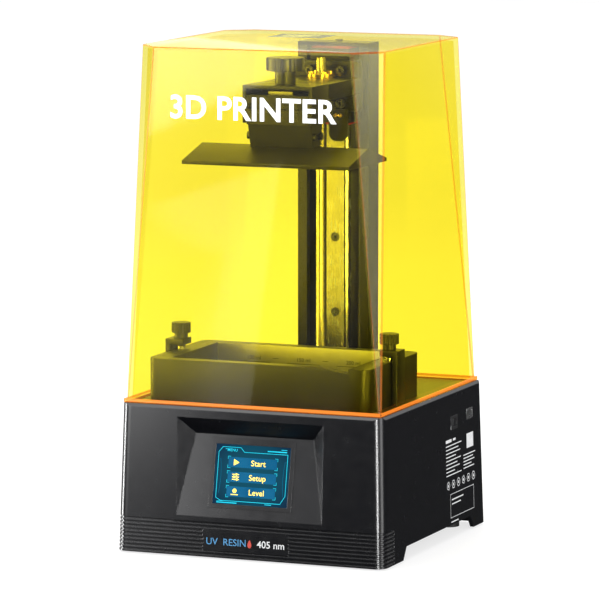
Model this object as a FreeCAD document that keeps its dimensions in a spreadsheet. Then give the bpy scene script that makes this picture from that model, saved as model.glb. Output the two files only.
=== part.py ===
import FreeCAD, Part
import os
import re
import Sketcher
from FreeCAD import Placement, Rotation, Vector

# A desktop resin printer: a drafted black casing with a tilted touch screen, a lift column with a linear
# rail and a lead screw, a hanging build plate, a resin vat on the masking display, and a clear hood.
# Origin: centre of the footprint on the table. +X is the right side, -Y the front, +Z up. Millimetres.

SIZES = {
    # clearances and fasteners
    "fit": 0.05,
    "run": 0.1,
    "gap": 0.3,
    "small_screw": 1.5,
    "small_head": 2.8,
    "rail_screw": 2,
    "rail_head": 3.5,
    # casing
    "casing_wide": 222,
    "casing_deep": 225.4,
    "casing_low": 1,
    "casing_high": 116,
    "casing_wall": 3,
    "casing_corner": 9,
    "back_corner": 4,
    "side_draft": 3,
    "end_draft": 3.7,
    "brow_drop": 2.1,
    "brow_side": 1.5,
    "brow_end": 2,
    "arch_high": 10.8,
    "arch_front": 71,
    "arch_back": 87,
    "arch_slope": 8,
    "rib_count": 9,
    "rib_pitch": 3,
    "rib_groove": 1.5,
    "rib_depth": 0.9,
    "rib_back": 89,
    "badge_wide": 71,
    "badge_low": 6,
    "badge_high": 22,
    "badge_shift": 2.5,
    # tilted panel and touch screen
    "recess_wide": 120.6,
    "recess_low": 32,
    "recess_drop": 8.2,
    "recess_deep": 10.5,
    "brow_tall": 12.8,
    "panel_wide": 97,
    "screen_wide": 64,
    "screen_low": 9.8,
    "screen_high": 49.4,
    "screen_thick": 4,
    "bezel_border": 2.4,
    "bezel_thick": 0.6,
    "view_border": 3.1,
    "view_chin": 3.5,
    # right side: power switch and memory stick socket
    "switch_y": 46.7,
    "switch_drop": 25.2,
    "switch_long": 14,
    "switch_tall": 10.4,
    "seat_sink": 1.2,
    "switch_proud": 1.6,
    "switch_body": 15,
    "rocker_long": 8.2,
    "rocker_tall": 6,
    "rocker_tip": 8,
    "socket_y": 82,
    "socket_drop": 23,
    "socket_long": 14,
    "socket_tall": 8,
    "socket_body": 16,
    "slot_long": 12,
    "slot_tall": 4.6,
    "slot_deep": 12,
    # back: fan vents and power inlet
    "fan_side": 60,
    "fan_thick": 15,
    "fan_x": 55,
    "fan_z": 56,
    "fan_gap": 0.9,
    "fan_radius": 27,
    "vent_count": 7,
    "vent_pitch": 7.5,
    "vent_wide": 3.6,
    "vent_tall": 48,
    "jack_x": 60,
    "jack_z": 45,
    "jack_barrel": 5.5,
    "jack_bore": 3.2,
    "jack_flange": 7,
    # underside
    "cover_low": 12,
    "cover_thick": 2,
    "foot_radius": 9,
    "foot_inset": 23,
    "post_radius": 4.5,
    "post_inset": 12,
    "screw_long": 12,
    # top plate, masking display and light engine
    "rim_land": 5.7,
    "plate_thick": 3,
    "ledge": 5,
    "deck_thick": 3,
    "light_y": -40,
    "mask_wide": 148,
    "mask_deep": 88,
    "mask_thick": 2,
    "mask_ledge": 3,
    "shroud_high": 53,
    "shroud_wall": 2,
    "board_wide": 104,
    "board_deep": 64,
    "board_thick": 2,
    "led_side": 4,
    "led_high": 1.2,
    "led_columns": 5,
    "led_rows": 3,
    "led_pitch_x": 18,
    "led_pitch_y": 16,
    "sink_high": 24,
    "sink_plate": 4,
    "fin_count": 11,
    "fin_thick": 2,
    # control board
    "main_left": 32,
    "main_front": 30,
    "main_wide": 66,
    "main_deep": 66,
    "main_stand": 6,
    "main_thick": 1.6,
    # lift: motor, coupler, lead screw, column and rail
    "screw_y": 36.2,
    "screw_radius": 4,
    "screw_top_over": 259,
    "motor_side": 42.2,
    "motor_gap": 6,
    "motor_long": 40,
    "motor_boss": 11,
    "shaft_radius": 2.5,
    "mount_sheet": 3,
    "coupler_radius": 9.5,
    "coupler_drop": 3,
    "coupler_long": 25,
    "column_wide": 60,
    "column_front": 62.5,
    "column_back": 84.5,
    "column_wall": 2,
    "column_lip": 7.7,
    "column_top_over": 266,
    "cap_thick": 3,
    "rail_wide": 15,
    "rail_high": 15,
    "rail_low_over": 4,
    "rail_first_over": 54,
    "rail_pitch": 60,
    "rail_count": 4,
    "groove_deep": 1.8,
    # carriage and arm
    "block_wide": 34,
    "block_long": 61.4,
    "block_low_over": 204.6,
    "block_stand": 28,
    "block_gap": 4.3,
    "end_long": 9.5,
    "seal_thick": 1.5,
    "bolt_pitch": 26,
    "arm_wide": 56,
    "arm_low_over": 216,
    "arm_high_over": 255.5,
    "arm_thick": 7,
    "arm_corner": 4,
    "slab_wide": 58,
    "slab_low_over": 230.5,
    "slab_high_over": 243,
    "nut_radius": 11,
    "nut_flange": 3.5,
    "nut_body": 5.1,
    "nut_circle": 8,
    "flag_x": 11,
    "flag_wide": 16,
    "flag_low_over": 192.6,
    "flag_high_over": 217.5,
    "flag_thick": 1.5,
    "flag_screw_z_over": 213,
    "flag_screw_pitch": 4,
    "flag_corner": 6,
    "sensor_high": 20,
    "sensor_slot": 11,
    # build plate and its clamp
    "clamp_y": -37,
    "clamp_wide": 57.8,
    "clamp_deep": 33.4,
    "clamp_low_over": 214.3,
    "clamp_high_over": 243.5,
    "clamp_wall": 3,
    "tee_low_over": 225.4,
    "tee_high_over": 229.4,
    "tee_deep": 3,
    "head_top_over": 236,
    "press_side": 20,
    "press_thick": 2.8,
    "knob_radius": 14.8,
    "knob_low_over": 254.2,
    "knob_high_over": 264.4,
    "knob_stem": 8,
    "knob_flutes": 8,
    "knob_flute": 3.2,
    "thread_radius": 3,
    "build_wide": 138,
    "build_deep": 80,
    "build_y": -39,
    "build_low_over": 183.3,
    "build_edge": 2.8,
    "build_ridge": 13.2,
    "neck_wide": 52,
    "neck_front": 50,
    "neck_back": 26,
    "neck_taper": 8,
    "level_z_over": 204,
    "level_pitch": 11,
    # vat
    "vat_wide": 183,
    "vat_deep": 111,
    "vat_y": -39.5,
    "vat_high": 33.8,
    "vat_corner": 8,
    "vat_mouth_wide": 150,
    "vat_mouth_deep": 90,
    "frame_wide": 168,
    "frame_deep": 100,
    "frame_high": 4,
    "window_wide": 144,
    "window_deep": 84,
    "film_thick": 0.15,
    "film_lift": 0.05,
    "film_border": 4,
    "film_screw": 1.25,
    "film_head": 2.4,
    "spout_wide": 28,
    "spout_deep": 3.5,
    # vat clamps
    "hook_in": 82,
    "hook_gap": 1,
    "hook_out": 96.8,
    "hook_y": -39.5,
    "hook_wide": 17,
    "hook_room": 4,
    "hook_thick": 4.7,
    "thumb_x": 87,
    "thumb_radius": 7.5,
    "thumb_gap": 4.3,
    "thumb_tall": 8.2,
    "thumb_stem": 5.2,
    "thumb_flutes": 18,
    "thumb_flute": 0.9,
    "thumb_pad": 4,
    "thumb_pad_high": 2.8,
    # hood
    "hood_wall": 3,
    "hood_high": 275,
    "flange_high": 3,
    "flange_inset": 0.2,
    "flange_side": 1.3,
    "flange_end": 2.3,
    "side_lean": 5.4,
    "front_lean": 0.5,
    "back_lean": 12.5,
    "corner_x": 18.5,
    "corner_y": 21.5,
    "back_corner_x": 21,
    "back_corner_y": 15,
    "corner_seed": 0.06,
}

# Places worked out from the sizes. Each is a formula in which other places may stand.
PLACES = {
    "brow_height": "casing_high - brow_drop",
    "brow_wide": "casing_wide - 2 * side_draft",
    "brow_deep": "casing_deep - 2 * end_draft",
    "rim_wide": "brow_wide - 2 * brow_side",
    "rim_deep": "brow_deep - 2 * brow_end",
    "lean": "atan((casing_deep - brow_deep) / 2 / (brow_height - casing_low))",
    "recess_front": "-casing_deep / 2 + (recess_low - casing_low) * tan(lean)",
    "recess_high": "casing_high - recess_drop - recess_low",
    "panel_high": "recess_high - brow_tall",
    "panel_lean": "lean + atan(recess_deep / panel_high)",
    "side_slope": "side_draft / (brow_height - casing_low)",
    "end_slope": "end_draft / (brow_height - casing_low)",
    "plate_wide": "rim_wide - 2 * rim_land",
    "plate_deep": "rim_deep - 2 * rim_land",
    "plate_low": "casing_high - plate_thick",
    "deck_low": "plate_low - deck_thick",
    "cover_high": "cover_low + cover_thick",
    "cover_wide": "casing_wide - 2 * (cover_high - casing_low) * side_slope - 2 * casing_wall - 1.3",
    "cover_deep": "casing_deep - 2 * (cover_high - casing_low) * end_slope - 2 * casing_wall - 1.2",
    "post_x": "casing_wide / 2 - post_inset",
    "post_y": "casing_deep / 2 - post_inset",
    "foot_x": "casing_wide / 2 - foot_inset",
    "foot_y": "casing_deep / 2 - foot_inset",
    "switch_z": "casing_high - switch_drop",
    "switch_seat": "casing_wide / 2 - (switch_z - casing_low) * side_slope - seat_sink",
    "switch_bay_long": "switch_long - 2.4",
    "switch_bay_tall": "switch_tall - 2.4",
    "socket_z": "casing_high - socket_drop",
    "socket_seat": "casing_wide / 2 - (socket_z - casing_low) * side_slope - seat_sink",
    "jack_seat": "casing_deep / 2 - (jack_z - casing_low) * end_slope - seat_sink",
    "fan_top": "fan_z + fan_side / 2",
    "fan_back": "casing_deep / 2 - (fan_top - casing_low) * end_slope - casing_wall - fan_gap",
    "fan_front": "fan_back - fan_thick",
    "shroud_floor": "plate_low - shroud_high",
    "board_low": "shroud_floor - board_thick",
    "sink_low": "board_low - sink_high",
    "coupler_low": "plate_low - coupler_drop - coupler_long",
    "motor_high": "coupler_low - motor_gap",
    "motor_low": "motor_high - motor_long",
    "mount_half": "motor_side / 2 + mount_sheet + 1",
    "column_foot": "casing_high + 3",
    "screw_top": "casing_high + screw_top_over",
    "column_top": "casing_high + column_top_over",
    "rail_low": "casing_high + rail_low_over",
    "rail_first": "casing_high + rail_first_over",
    "block_low": "casing_high + block_low_over",
    "arm_low": "casing_high + arm_low_over",
    "arm_high": "casing_high + arm_high_over",
    "slab_low": "casing_high + slab_low_over",
    "slab_high": "casing_high + slab_high_over",
    "flag_low": "casing_high + flag_low_over",
    "flag_high": "casing_high + flag_high_over",
    "flag_screw_z": "casing_high + flag_screw_z_over",
    "clamp_low": "casing_high + clamp_low_over",
    "clamp_high": "casing_high + clamp_high_over",
    "tee_low": "casing_high + tee_low_over",
    "tee_high": "casing_high + tee_high_over",
    "head_top": "casing_high + head_top_over",
    "knob_low": "casing_high + knob_low_over",
    "knob_high": "casing_high + knob_high_over",
    "build_low": "casing_high + build_low_over",
    "level_z": "casing_high + level_z_over",
    "web_front": "column_back - column_wall",
    "rail_front": "web_front - rail_high",
    "rail_middle": "web_front - rail_high / 2",
    "rail_top": "column_top",
    "block_front": "web_front - block_stand",
    "block_back": "web_front - block_gap",
    "block_top": "block_low + block_long",
    "block_middle": "block_low + block_long / 2",
    "arm_front": "block_front - arm_thick",
    "clamp_front": "clamp_y - clamp_deep / 2",
    "clamp_back": "clamp_y + clamp_deep / 2",
    "head_half": "clamp_wide / 2 - clamp_wall - gap",
    "press_top": "head_top + press_thick",
    "build_front": "build_y - build_deep / 2",
    "build_back": "build_y + build_deep / 2",
    "vat_front": "vat_y - vat_deep / 2",
    "vat_back": "vat_y + vat_deep / 2",
    "vat_top": "casing_high + vat_high",
    "film_low": "casing_high + film_lift",
    "frame_low": "film_low + film_thick",
    "frame_top": "frame_low + frame_high",
    "film_screw_x": "frame_wide / 2 - film_head - 1.5",
    "hook_post": "vat_wide / 2 + hook_gap",
    "hook_low": "vat_top + hook_room",
    "hook_high": "hook_low + hook_thick",
    "thumb_low": "hook_high + thumb_gap",
    "thumb_high": "thumb_low + thumb_tall",
    "hook_front": "hook_y - hook_wide / 2",
    "hook_back": "hook_y + hook_wide / 2",
    "flange_top": "casing_high + flange_high",
    "flange_wide": "rim_wide - 2 * flange_inset",
    "flange_deep": "rim_deep - 2 * flange_inset",
    "skirt_wide": "flange_wide - 2 * flange_side",
    "skirt_deep": "flange_deep - 2 * flange_end",
    "crown_wide": "skirt_wide - 2 * side_lean",
    "crown_front": "skirt_deep / 2 - front_lean",
    "crown_back": "skirt_deep / 2 - back_lean",
    "hood_top": "casing_high + hood_high",
    "main_low": "cover_high + main_stand",
}

doc = FreeCAD.newDocument("resin_printer")
sheet = doc.addObject("Spreadsheet::Sheet", "sizes")
for row, (alias, number) in enumerate(SIZES.items(), 1):
    sheet.set(f"A{row}", alias)
    sheet.set(f"B{row}", str(number))
    sheet.setAlias(f"B{row}", alias)
doc.recompute()

WORD = re.compile(r"[a-z][a-z_0-9]*")
parts = {}


def formula(text):
    """The text with each size's name turned into the sheet's cell and each place's name into its formula."""

    def swap(match):
        word = match[0]
        if word in SIZES:
            return "sizes." + word
        return f"({formula(PLACES[word])})" if word in PLACES else word

    return WORD.sub(swap, str(text))


def bind(item, formulas):
    """Ties properties of an object to the sheet."""
    for path, text in formulas.items():
        item.setExpression(path, formula(text))
    return item


def count(alias):
    """A whole number of the sheet, for loops."""
    return int(sheet.get(alias))


def around(middle, width):
    """The two ends of a width laid evenly about its middle."""
    return f"({middle}) - ({width}) / 2", f"({middle}) + ({width}) / 2"


def span(ends):
    return f"({ends[1]}) - ({ends[0]})"


def keep(label, item):
    """Names a finished sub-part."""
    item.Label = label
    parts[label] = item
    return item


# ---- Part primitives, each placed by where it starts and ends ----


def box(name, x, y, z):
    item = doc.addObject("Part::Box", name)
    bind(item, {"Length": span(x), "Width": span(y), "Height": span(z)})
    return bind(item, {"Placement.Base.x": x[0], "Placement.Base.y": y[0], "Placement.Base.z": z[0]})


def rod(name, x, y, z, radius):
    """A cylinder that runs along the axis whose value is a pair of ends."""
    item = doc.addObject("Part::Cylinder", name)
    turns = {"x": Rotation(Vector(0, 1, 0), 90), "y": Rotation(Vector(1, 0, 0), -90), "z": Rotation()}
    places = {"x": x, "y": y, "z": z}
    run = next(axis for axis, place in places.items() if isinstance(place, tuple))
    item.Placement = Placement(Vector(), turns[run])
    bind(item, {"Radius": radius, "Height": span(places[run])})
    places[run] = places[run][0]
    return bind(item, {f"Placement.Base.{axis}": place for axis, place in places.items()})


def frustum(name, low, high):
    """A tapered block between two level rectangles, each given as its height and its ends in X and Y."""
    item = doc.addObject("Part::Wedge", name)
    item.Placement = Placement(Vector(), Rotation(Vector(1, 0, 0), 90))
    (z0, x0, y0), (z1, x1, y1) = low, high
    bind(item, {"Ymin": z0, "Xmin": x0[0], "Xmax": x0[1], "Zmin": f"-({y0[1]})", "Zmax": f"-({y0[0]})"})
    return bind(
        item, {"Ymax": z1, "X2min": x1[0], "X2max": x1[1], "Z2min": f"-({y1[1]})", "Z2max": f"-({y1[0]})"}
    )


def join(name, *items):
    item = doc.addObject("Part::MultiFuse", name)
    item.Shapes = list(items)
    return item


def cut(name, base, *tools):
    item = doc.addObject("Part::Cut", name)
    item.Base = base
    item.Tool = tools[0] if len(tools) == 1 else join(f"{name}_cutters", *tools)
    return item


def group(name, *items):
    """Separate solids that make one sub-part."""
    item = doc.addObject("Part::Compound", name)
    item.Links = list(items)
    return item


def leaned(item, y, z, angle):
    """Leans an object back about a level line across the front."""
    item.Placement = Placement(Vector(), Rotation(Vector(1, 0, 0), -10))
    places = {"Placement.Base.y": y, "Placement.Base.z": z, "Placement.Rotation.Angle": f"-({angle})"}
    return bind(item, places)


def upright(edge):
    """True for an edge that rises nearly straight."""
    first, last = edge.Vertexes[0].Point, edge.Vertexes[-1].Point
    return abs(first.z - last.z) > 0.9 * edge.Length


def fillet(name, base, rule):
    """Rounds the edges for which rule(edge) gives a radius."""
    doc.recompute()
    item = doc.addObject("Part::Fillet", name)
    item.Base = base
    radii = [(number, rule(edge)) for number, edge in enumerate(base.Shape.Edges, 1)]
    item.Edges = [(number, radius, radius) for number, radius in radii if radius]
    return item


# ---- PartDesign bodies, sketched on their own origin planes ----


def new_body(label):
    return keep(label, doc.addObject("PartDesign::Body", label))


def sketch(body, name, role, level, points=(), circles=()):
    """A closed polygon and circles on an origin plane moved along its normal, every size from the sheet."""
    item = body.newObject("Sketcher::SketchObject", name)
    item.AttachmentSupport = [(next(f for f in body.Origin.OriginFeatures if f.Role == role), "")]
    item.MapMode = "FlatFace"
    bind(item, {"AttachmentOffset.Base.z": level})
    corners = [Vector(0, 0, 0) + Rotation(Vector(0, 0, 1), 360 * n / len(points)) * Vector(50, 0, 0)
               for n in range(len(points))]
    item.addGeometry([Part.LineSegment(corners[n - 1], corners[n]) for n in range(len(points))], False)
    for number, (across, along) in enumerate(points):
        item.addConstraint(Sketcher.Constraint("Coincident", number - 1 if number else len(points) - 1, 2, number, 1))
        for kind, text in (("DistanceX", across), ("DistanceY", along)):
            constraint = item.addConstraint(Sketcher.Constraint(kind, -1, 1, number, 1, 1.0))
            bind(item, {f"Constraints[{constraint}]": text})
    for across, along, radius in circles:
        ring = item.addGeometry(Part.Circle(Vector(9, 9, 0), Vector(0, 0, 1), 2), False)
        for kind, text in (("DistanceX", across), ("DistanceY", along)):
            constraint = item.addConstraint(Sketcher.Constraint(kind, -1, 1, ring, 3, 1.0))
            bind(item, {f"Constraints[{constraint}]": text})
        constraint = item.addConstraint(Sketcher.Constraint("Radius", ring, 2.0))
        bind(item, {f"Constraints[{constraint}]": radius})
    return item


def pad(body, name, role, ends, points=(), circles=()):
    """Adds a prism between two levels along the plane's axis."""
    level = f"-({ends[1]})" if role == "XZ_Plane" else ends[0]
    profile = sketch(body, f"{name}_sketch", role, level, points, circles)
    item = body.newObject("PartDesign::Pad", name)
    item.Profile = profile
    bind(item, {"Length": span(ends)})
    body.Tip = item
    return item


def pocket(body, name, role, ends, points=(), circles=()):
    """Removes a prism between two levels along the plane's axis."""
    level = f"-({ends[0]})" if role == "XZ_Plane" else ends[1]
    profile = sketch(body, f"{name}_sketch", role, level, points, circles)
    item = body.newObject("PartDesign::Pocket", name)
    item.Profile = profile
    bind(item, {"Length": span(ends)})
    body.Tip = item
    return item


def rectangle(across, along):
    return [(across[0], along[0]), (across[1], along[0]), (across[1], along[1]), (across[0], along[1])]


def soften(body, name, radius, rule):
    """Rounds the edges of the body's last feature for which rule(edge) is true."""
    doc.recompute()
    base = body.Tip
    chosen = [f"Edge{number}" for number, edge in enumerate(base.Shape.Edges, 1) if rule(edge)]
    item = body.newObject("PartDesign::Fillet", name)
    item.Base = (base, chosen)
    bind(item, {"Radius": radius})
    body.Tip = item
    return item


def ring_of(body, name, feature, profile, number):
    """Repeats a feature evenly about the normal of its sketch."""
    item = body.newObject("PartDesign::PolarPattern", name)
    item.Originals = [feature]
    item.Axis = (profile, ["N_Axis"])
    item.Angle = 360
    bind(item, {"Occurrences": number})
    body.Tip = item
    return item


# ---- Casing ----


def drafted(name, inset, low, high):
    """The casing's drafted form from one height to another, moved in by an inset, with rounded corners."""
    slope = f"(({high}) - casing_low) / (brow_height - casing_low)"
    wide = f"(casing_wide - (casing_wide - brow_wide) * {slope} - 2 * ({inset}))"
    deep = f"(casing_deep - (casing_deep - brow_deep) * {slope} - 2 * ({inset}))"
    foot_wide = f"(casing_wide - 2 * ({inset}))"
    foot_deep = f"(casing_deep - 2 * ({inset}))"
    block = frustum(
        name,
        (low, around(0, foot_wide), around(0, foot_deep)),
        (high, around(0, wide), around(0, deep)),
    )
    return block


def corner_radius(edge, inset):
    """Front corners are rounder than the back ones."""
    if not upright(edge):
        return 0
    front = edge.CenterOfMass.y < 0
    return sheet.get("casing_corner" if front else "back_corner") - inset


def screen_wedge(name, margin):
    """The recess of the tilted panel: as wide as its mouth at the front, a level line at the back."""
    item = doc.addObject("Part::Wedge", name)
    mouth = f"(recess_wide / 2 + {margin})"
    back = f"(panel_wide / 2 + {margin})"
    bind(item, {"Ymin": "0" if margin == "0" else "bezel_thick", "Ymax": f"recess_deep + {margin}"})
    bind(item, {"Xmin": f"-{mouth}", "Xmax": mouth, "X2min": f"-{back}", "X2max": back})
    bind(item, {"Zmin": f"-2 * {margin}", "Zmax": f"recess_high + {margin}"})
    bind(item, {"Z2min": f"panel_high - {margin}", "Z2max": f"panel_high + {margin}"})
    return leaned(item, "recess_front", "recess_low", "lean")


def base_casing():
    """One moulding: drafted walls, chamfered brow, ribbed foot band, side arches and the screen's recess."""
    wall = sheet.get("casing_wall")
    walls = drafted("casing_walls", "0", "casing_low", "casing_high")
    walls = fillet("casing_rounded", walls, lambda edge: corner_radius(edge, 0))
    spread = "(brow_height - casing_low) / (casing_high - brow_height)"
    brow = frustum(
        "casing_brow",
        (
            "casing_low",
            around(0, f"brow_wide + (brow_wide - rim_wide) * {spread}"),
            around(0, f"brow_deep + (brow_deep - rim_deep) * {spread}"),
        ),
        ("casing_high", around(0, "rim_wide"), around(0, "rim_deep")),
    )
    outer = doc.addObject("Part::Common", "casing_form")
    outer.Base = walls
    outer.Tool = brow
    cavity = drafted("casing_cavity", "casing_wall", "casing_low - 1", "deck_low")
    cavity = fillet("cavity_rounded", cavity, lambda edge: max(corner_radius(edge, wall), 0))
    opening = box(
        "deck_opening",
        around(0, "plate_wide - 2 * ledge"),
        around(0, "plate_deep - 2 * ledge"),
        ("deck_low - 1", "plate_low + 1"),
    )
    seat = box(
        "plate_seat",
        around(0, "plate_wide + 2 * fit"),
        around(0, "plate_deep + 2 * fit"),
        ("plate_low", "casing_high + 1"),
    )
    arch = frustum(
        "side_arch",
        ("-1", around(0, "casing_wide + 20"), ("-arch_front - 1", "arch_back + 1")),
        ("arch_high", around(0, "casing_wide + 20"), ("-arch_front + arch_slope", "arch_back - arch_slope")),
    )
    hollow = cut("casing_shell", outer, cavity, opening, seat, arch, rib_grooves())
    posts = [
        rod(f"cover_post_{n}", f"{side} * post_x", f"{end} * post_y", ("cover_high", "deck_low + 1"), "post_radius")
        for n, (side, end) in enumerate(CORNERS)
    ]
    solid = join("casing_solid", hollow, screen_wedge("screen_backing", "casing_wall"), *posts)
    openings = [
        screen_wedge("screen_recess", "0"),
        leaned(group("screen_hole", screen_block("screen_hole_block", "0", "-1", "casing_wall + 4")),
               "recess_front", "recess_low", "panel_lean"),
        box("switch_seat_cut", ("switch_seat", "casing_wide"), around("switch_y", "switch_long + run"),
            around("switch_z", "switch_tall + run")),
        box("switch_hole", ("switch_seat - 10", "switch_seat + 1"), around("switch_y", "switch_bay_long + run"),
            around("switch_z", "switch_bay_tall + run")),
        box("socket_hole", ("socket_seat - 10", "casing_wide"), around("socket_y", "socket_long + run"),
            around("socket_z", "socket_tall + run")),
        rod("jack_hole", "jack_x", ("jack_seat - 10", "jack_seat + 1"), "jack_z", "jack_barrel + fit"),
        rod("jack_seat_cut", "jack_x", ("jack_seat", "casing_deep"), "jack_z", "jack_flange + run"),
    ]
    first = "-fan_x - vent_pitch * (vent_count - 1) / 2"
    for n in range(count("vent_count")):
        x = around(f"{first} + {n} * vent_pitch", "vent_wide")
        openings.append(box(f"vent_{n}", x, ("fan_back + 0.2", "casing_deep"), around("fan_z", "vent_tall")))
    for n, (side, end) in enumerate(CORNERS):
        height = ("cover_low", "cover_high + screw_long")
        openings.append(rod(f"post_bore_{n}", f"{side} * post_x", f"{end} * post_y", height, "small_screw + fit"))
    keep("base_casing", cut("casing", solid, *openings))


def rib_grooves():
    """Level grooves round the front foot of the casing, left out behind the smooth badge."""
    slots = []
    for n in range(count("rib_count")):
        low = f"casing_low + rib_groove + {n} * rib_pitch"
        z = (low, f"{low} + rib_groove")
        slots.append(box(f"rib_groove_{n}", around(0, "casing_wide + 9"), ("-casing_deep", "-rib_back"), z))
    core = drafted("rib_core", "rib_depth", "casing_low - 1", "brow_height")
    core = fillet("rib_core_rounded", core, lambda edge: corner_radius(edge, sheet.get("rib_depth")))
    badge = box("badge_face", around("-badge_shift", "badge_wide"), ("-casing_deep", "0"), ("badge_low", "badge_high"))
    return cut("rib_grooves", join("rib_slots", *slots), core, badge)


CORNERS = [(-1, -1), (1, -1), (1, 1), (-1, 1)]


def screen_block(name, margin, near, far):
    """A block on the tilted panel, as large as the screen's opening less a margin; near and far are depths."""
    return box(
        name,
        around(0, f"screen_wide - 2 * ({margin})"),
        (near, far),
        (f"screen_low + {margin}", f"screen_low + screen_high - ({margin})"),
    )


def screen_parts():
    """Bezel lip, touch screen and its board, stacked along the tilted panel's normal."""
    lip = box(
        "bezel_outer",
        around(0, "screen_wide + 2 * bezel_border"),
        ("-bezel_thick", "0"),
        ("screen_low - bezel_border", "screen_low + screen_high + bezel_border"),
    )
    view = box(
        "bezel_view",
        around(0, "screen_wide - 2 * view_border + 4"),
        ("-bezel_thick - 1", "1"),
        ("screen_low + 1", "screen_low + screen_high - view_chin + 1"),
    )
    glass = screen_block("screen_glass", "gap", "fit", "screen_thick")
    board = screen_block("screen_board_plate", "1.5", "screen_thick + 1", "screen_thick + 2.6")
    bezel = cut("bezel_ring", lip, view)
    for label, item in (("screen_bezel", bezel), ("touch_screen", glass), ("screen_board", board)):
        keep(label, leaned(group(label, item), "recess_front", "recess_low", "panel_lean"))


def side_fittings():
    """Rocker switch and memory stick socket in the right wall."""
    frame = join(
        "switch_block",
        box("switch_flange", ("switch_seat", "switch_seat + switch_proud"), around("switch_y", "switch_long"),
            around("switch_z", "switch_tall")),
        box("switch_can", ("switch_seat - switch_body", "switch_seat"), around("switch_y", "switch_bay_long"),
            around("switch_z", "switch_bay_tall")),
    )
    bay = box("switch_bay", ("switch_seat - 8", "switch_seat + 5"), around("switch_y", "rocker_long + 1.2"),
              around("switch_z", "rocker_tall + 2 * gap"))
    pin_ends = around("switch_z", "rocker_tall + 2 * gap + 1")
    pin_hole = rod("switch_pivot", "switch_seat - 1", "switch_y", pin_ends, "0.8 + run")
    keep("switch_frame", cut("switch_frame", frame, bay, pin_hole))
    rocker = new_body("power_rocker")
    half, tall = "rocker_long / 2", around(0, "rocker_tall")
    face = [("-3.2", f"-{half}"), ("2.6", f"-{half}"), ("1.2", "0"), ("2.6", half), ("-3.2", half)]
    pad(rocker, "rocker_key", "XY_Plane", tall, points=face)
    pad(rocker, "rocker_pins", "XY_Plane", around(0, "rocker_tall + 2 * gap + 0.8"), circles=[("0", "0", "0.8")])
    rocker.Placement = Placement(Vector(), Rotation(Vector(0, 0, 1), 5))
    bind(rocker, {"Placement.Base.x": "switch_seat - 1", "Placement.Base.y": "switch_y"})
    bind(rocker, {"Placement.Base.z": "switch_z", "Placement.Rotation.Angle": "rocker_tip"})
    shell = box("socket_shell", ("socket_seat - socket_body", "socket_seat + 1.2"), around("socket_y", "socket_long"),
                around("socket_z", "socket_tall"))
    slot = box("socket_slot", ("socket_seat + 1.2 - slot_deep", "casing_wide"), around("socket_y", "slot_long"),
               around("socket_z", "slot_tall"))
    keep("usb_socket", cut("usb_socket", shell, slot))


def back_fittings():
    """Cooling fan behind the vents, and the power inlet."""
    case = box("fan_case", around("-fan_x", "fan_side"), ("fan_front", "fan_back"), around("fan_z", "fan_side"))
    duct = rod("fan_duct", "-fan_x", ("fan_front - 1", "fan_back + 1"), "fan_z", "fan_radius + 1")
    arms = [
        box("fan_arm_level", around("-fan_x", "fan_side - 2"), ("fan_back - 2.5", "fan_back"), around("fan_z", "3")),
        box("fan_arm_upright", around("-fan_x", "3"), ("fan_back - 2.5", "fan_back"), around("fan_z", "fan_side - 2")),
        rod("fan_stator", "-fan_x", ("fan_back - 3", "fan_back"), "fan_z", "12"),
        rod("fan_pin", "-fan_x", ("fan_front + 2", "fan_back"), "fan_z", "1.5"),
    ]
    keep("fan_frame", join("fan_frame", cut("fan_ring", case, duct), *arms))
    rotor = new_body("fan_rotor")
    depth = ("-fan_thick + 1.5", "-3.4")
    pad(rotor, "fan_hub", "XZ_Plane", depth, circles=[("0", "0", "12")])
    blade = pad(rotor, "fan_blade", "XZ_Plane", depth, points=rectangle(("10", "fan_radius"), ("-0.8", "0.8")))
    ring_of(rotor, "fan_blades", blade, blade.Profile[0], "7")
    pocket(rotor, "fan_bore", "XZ_Plane", ("-fan_thick", "0"), circles=[("0", "0", "1.5 + run")])
    bind(rotor, {"Placement.Base.x": "-fan_x", "Placement.Base.y": "fan_back", "Placement.Base.z": "fan_z"})
    barrel = rod("jack_barrel_rod", "jack_x", ("jack_seat - 12", "jack_seat"), "jack_z", "jack_barrel")
    flange = rod("jack_flange_disc", "jack_x", ("jack_seat", "jack_seat + 1.6"), "jack_z", "jack_flange")
    bore = rod("jack_bore_cut", "jack_x", ("jack_seat - 9", "jack_seat + 2"), "jack_z", "jack_bore")
    pin = rod("jack_pin", "jack_x", ("jack_seat - 10", "jack_seat - 0.5"), "jack_z", "1")
    keep("power_jack", join("power_jack", cut("jack_shell", join("jack_solid", barrel, flange), bore), pin))


def underside():
    """Steel bottom cover on the casing's posts, its screws, and the rubber feet stuck under it."""
    cover = new_body("base_cover")
    outline = rectangle(around(0, "cover_wide"), around(0, "cover_deep"))
    pad(cover, "cover_sheet", "XY_Plane", ("cover_low", "cover_high"), points=outline)
    soften(cover, "cover_corners", "casing_corner - casing_wall", upright)
    places = [(f"{side} * post_x", f"{end} * post_y") for side, end in CORNERS]
    holes = [(x, y, "small_screw + run") for x, y in places]
    pocket(cover, "cover_holes", "XY_Plane", ("cover_low - 1", "cover_high + 1"), circles=holes)
    feet, screws = [], []
    for n, (side, end) in enumerate(CORNERS):
        feet.append(rod(f"foot_{n}", f"{side} * foot_x", f"{end} * foot_y", ("0", "cover_low"), "foot_radius"))
        x, y = places[n]
        shank = rod(f"cover_shank_{n}", x, y, ("cover_low - 1", "cover_high + screw_long - 1"), "small_screw")
        head = rod(f"cover_head_{n}", x, y, ("cover_low - 1.8", "cover_low"), "small_head")
        screws.append(join(f"cover_screw_{n}", shank, head))
    keep("rubber_feet", group("rubber_feet", *feet))
    keep("cover_screws", group("cover_screws", *screws))


# ---- Deck and light engine ----


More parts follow.
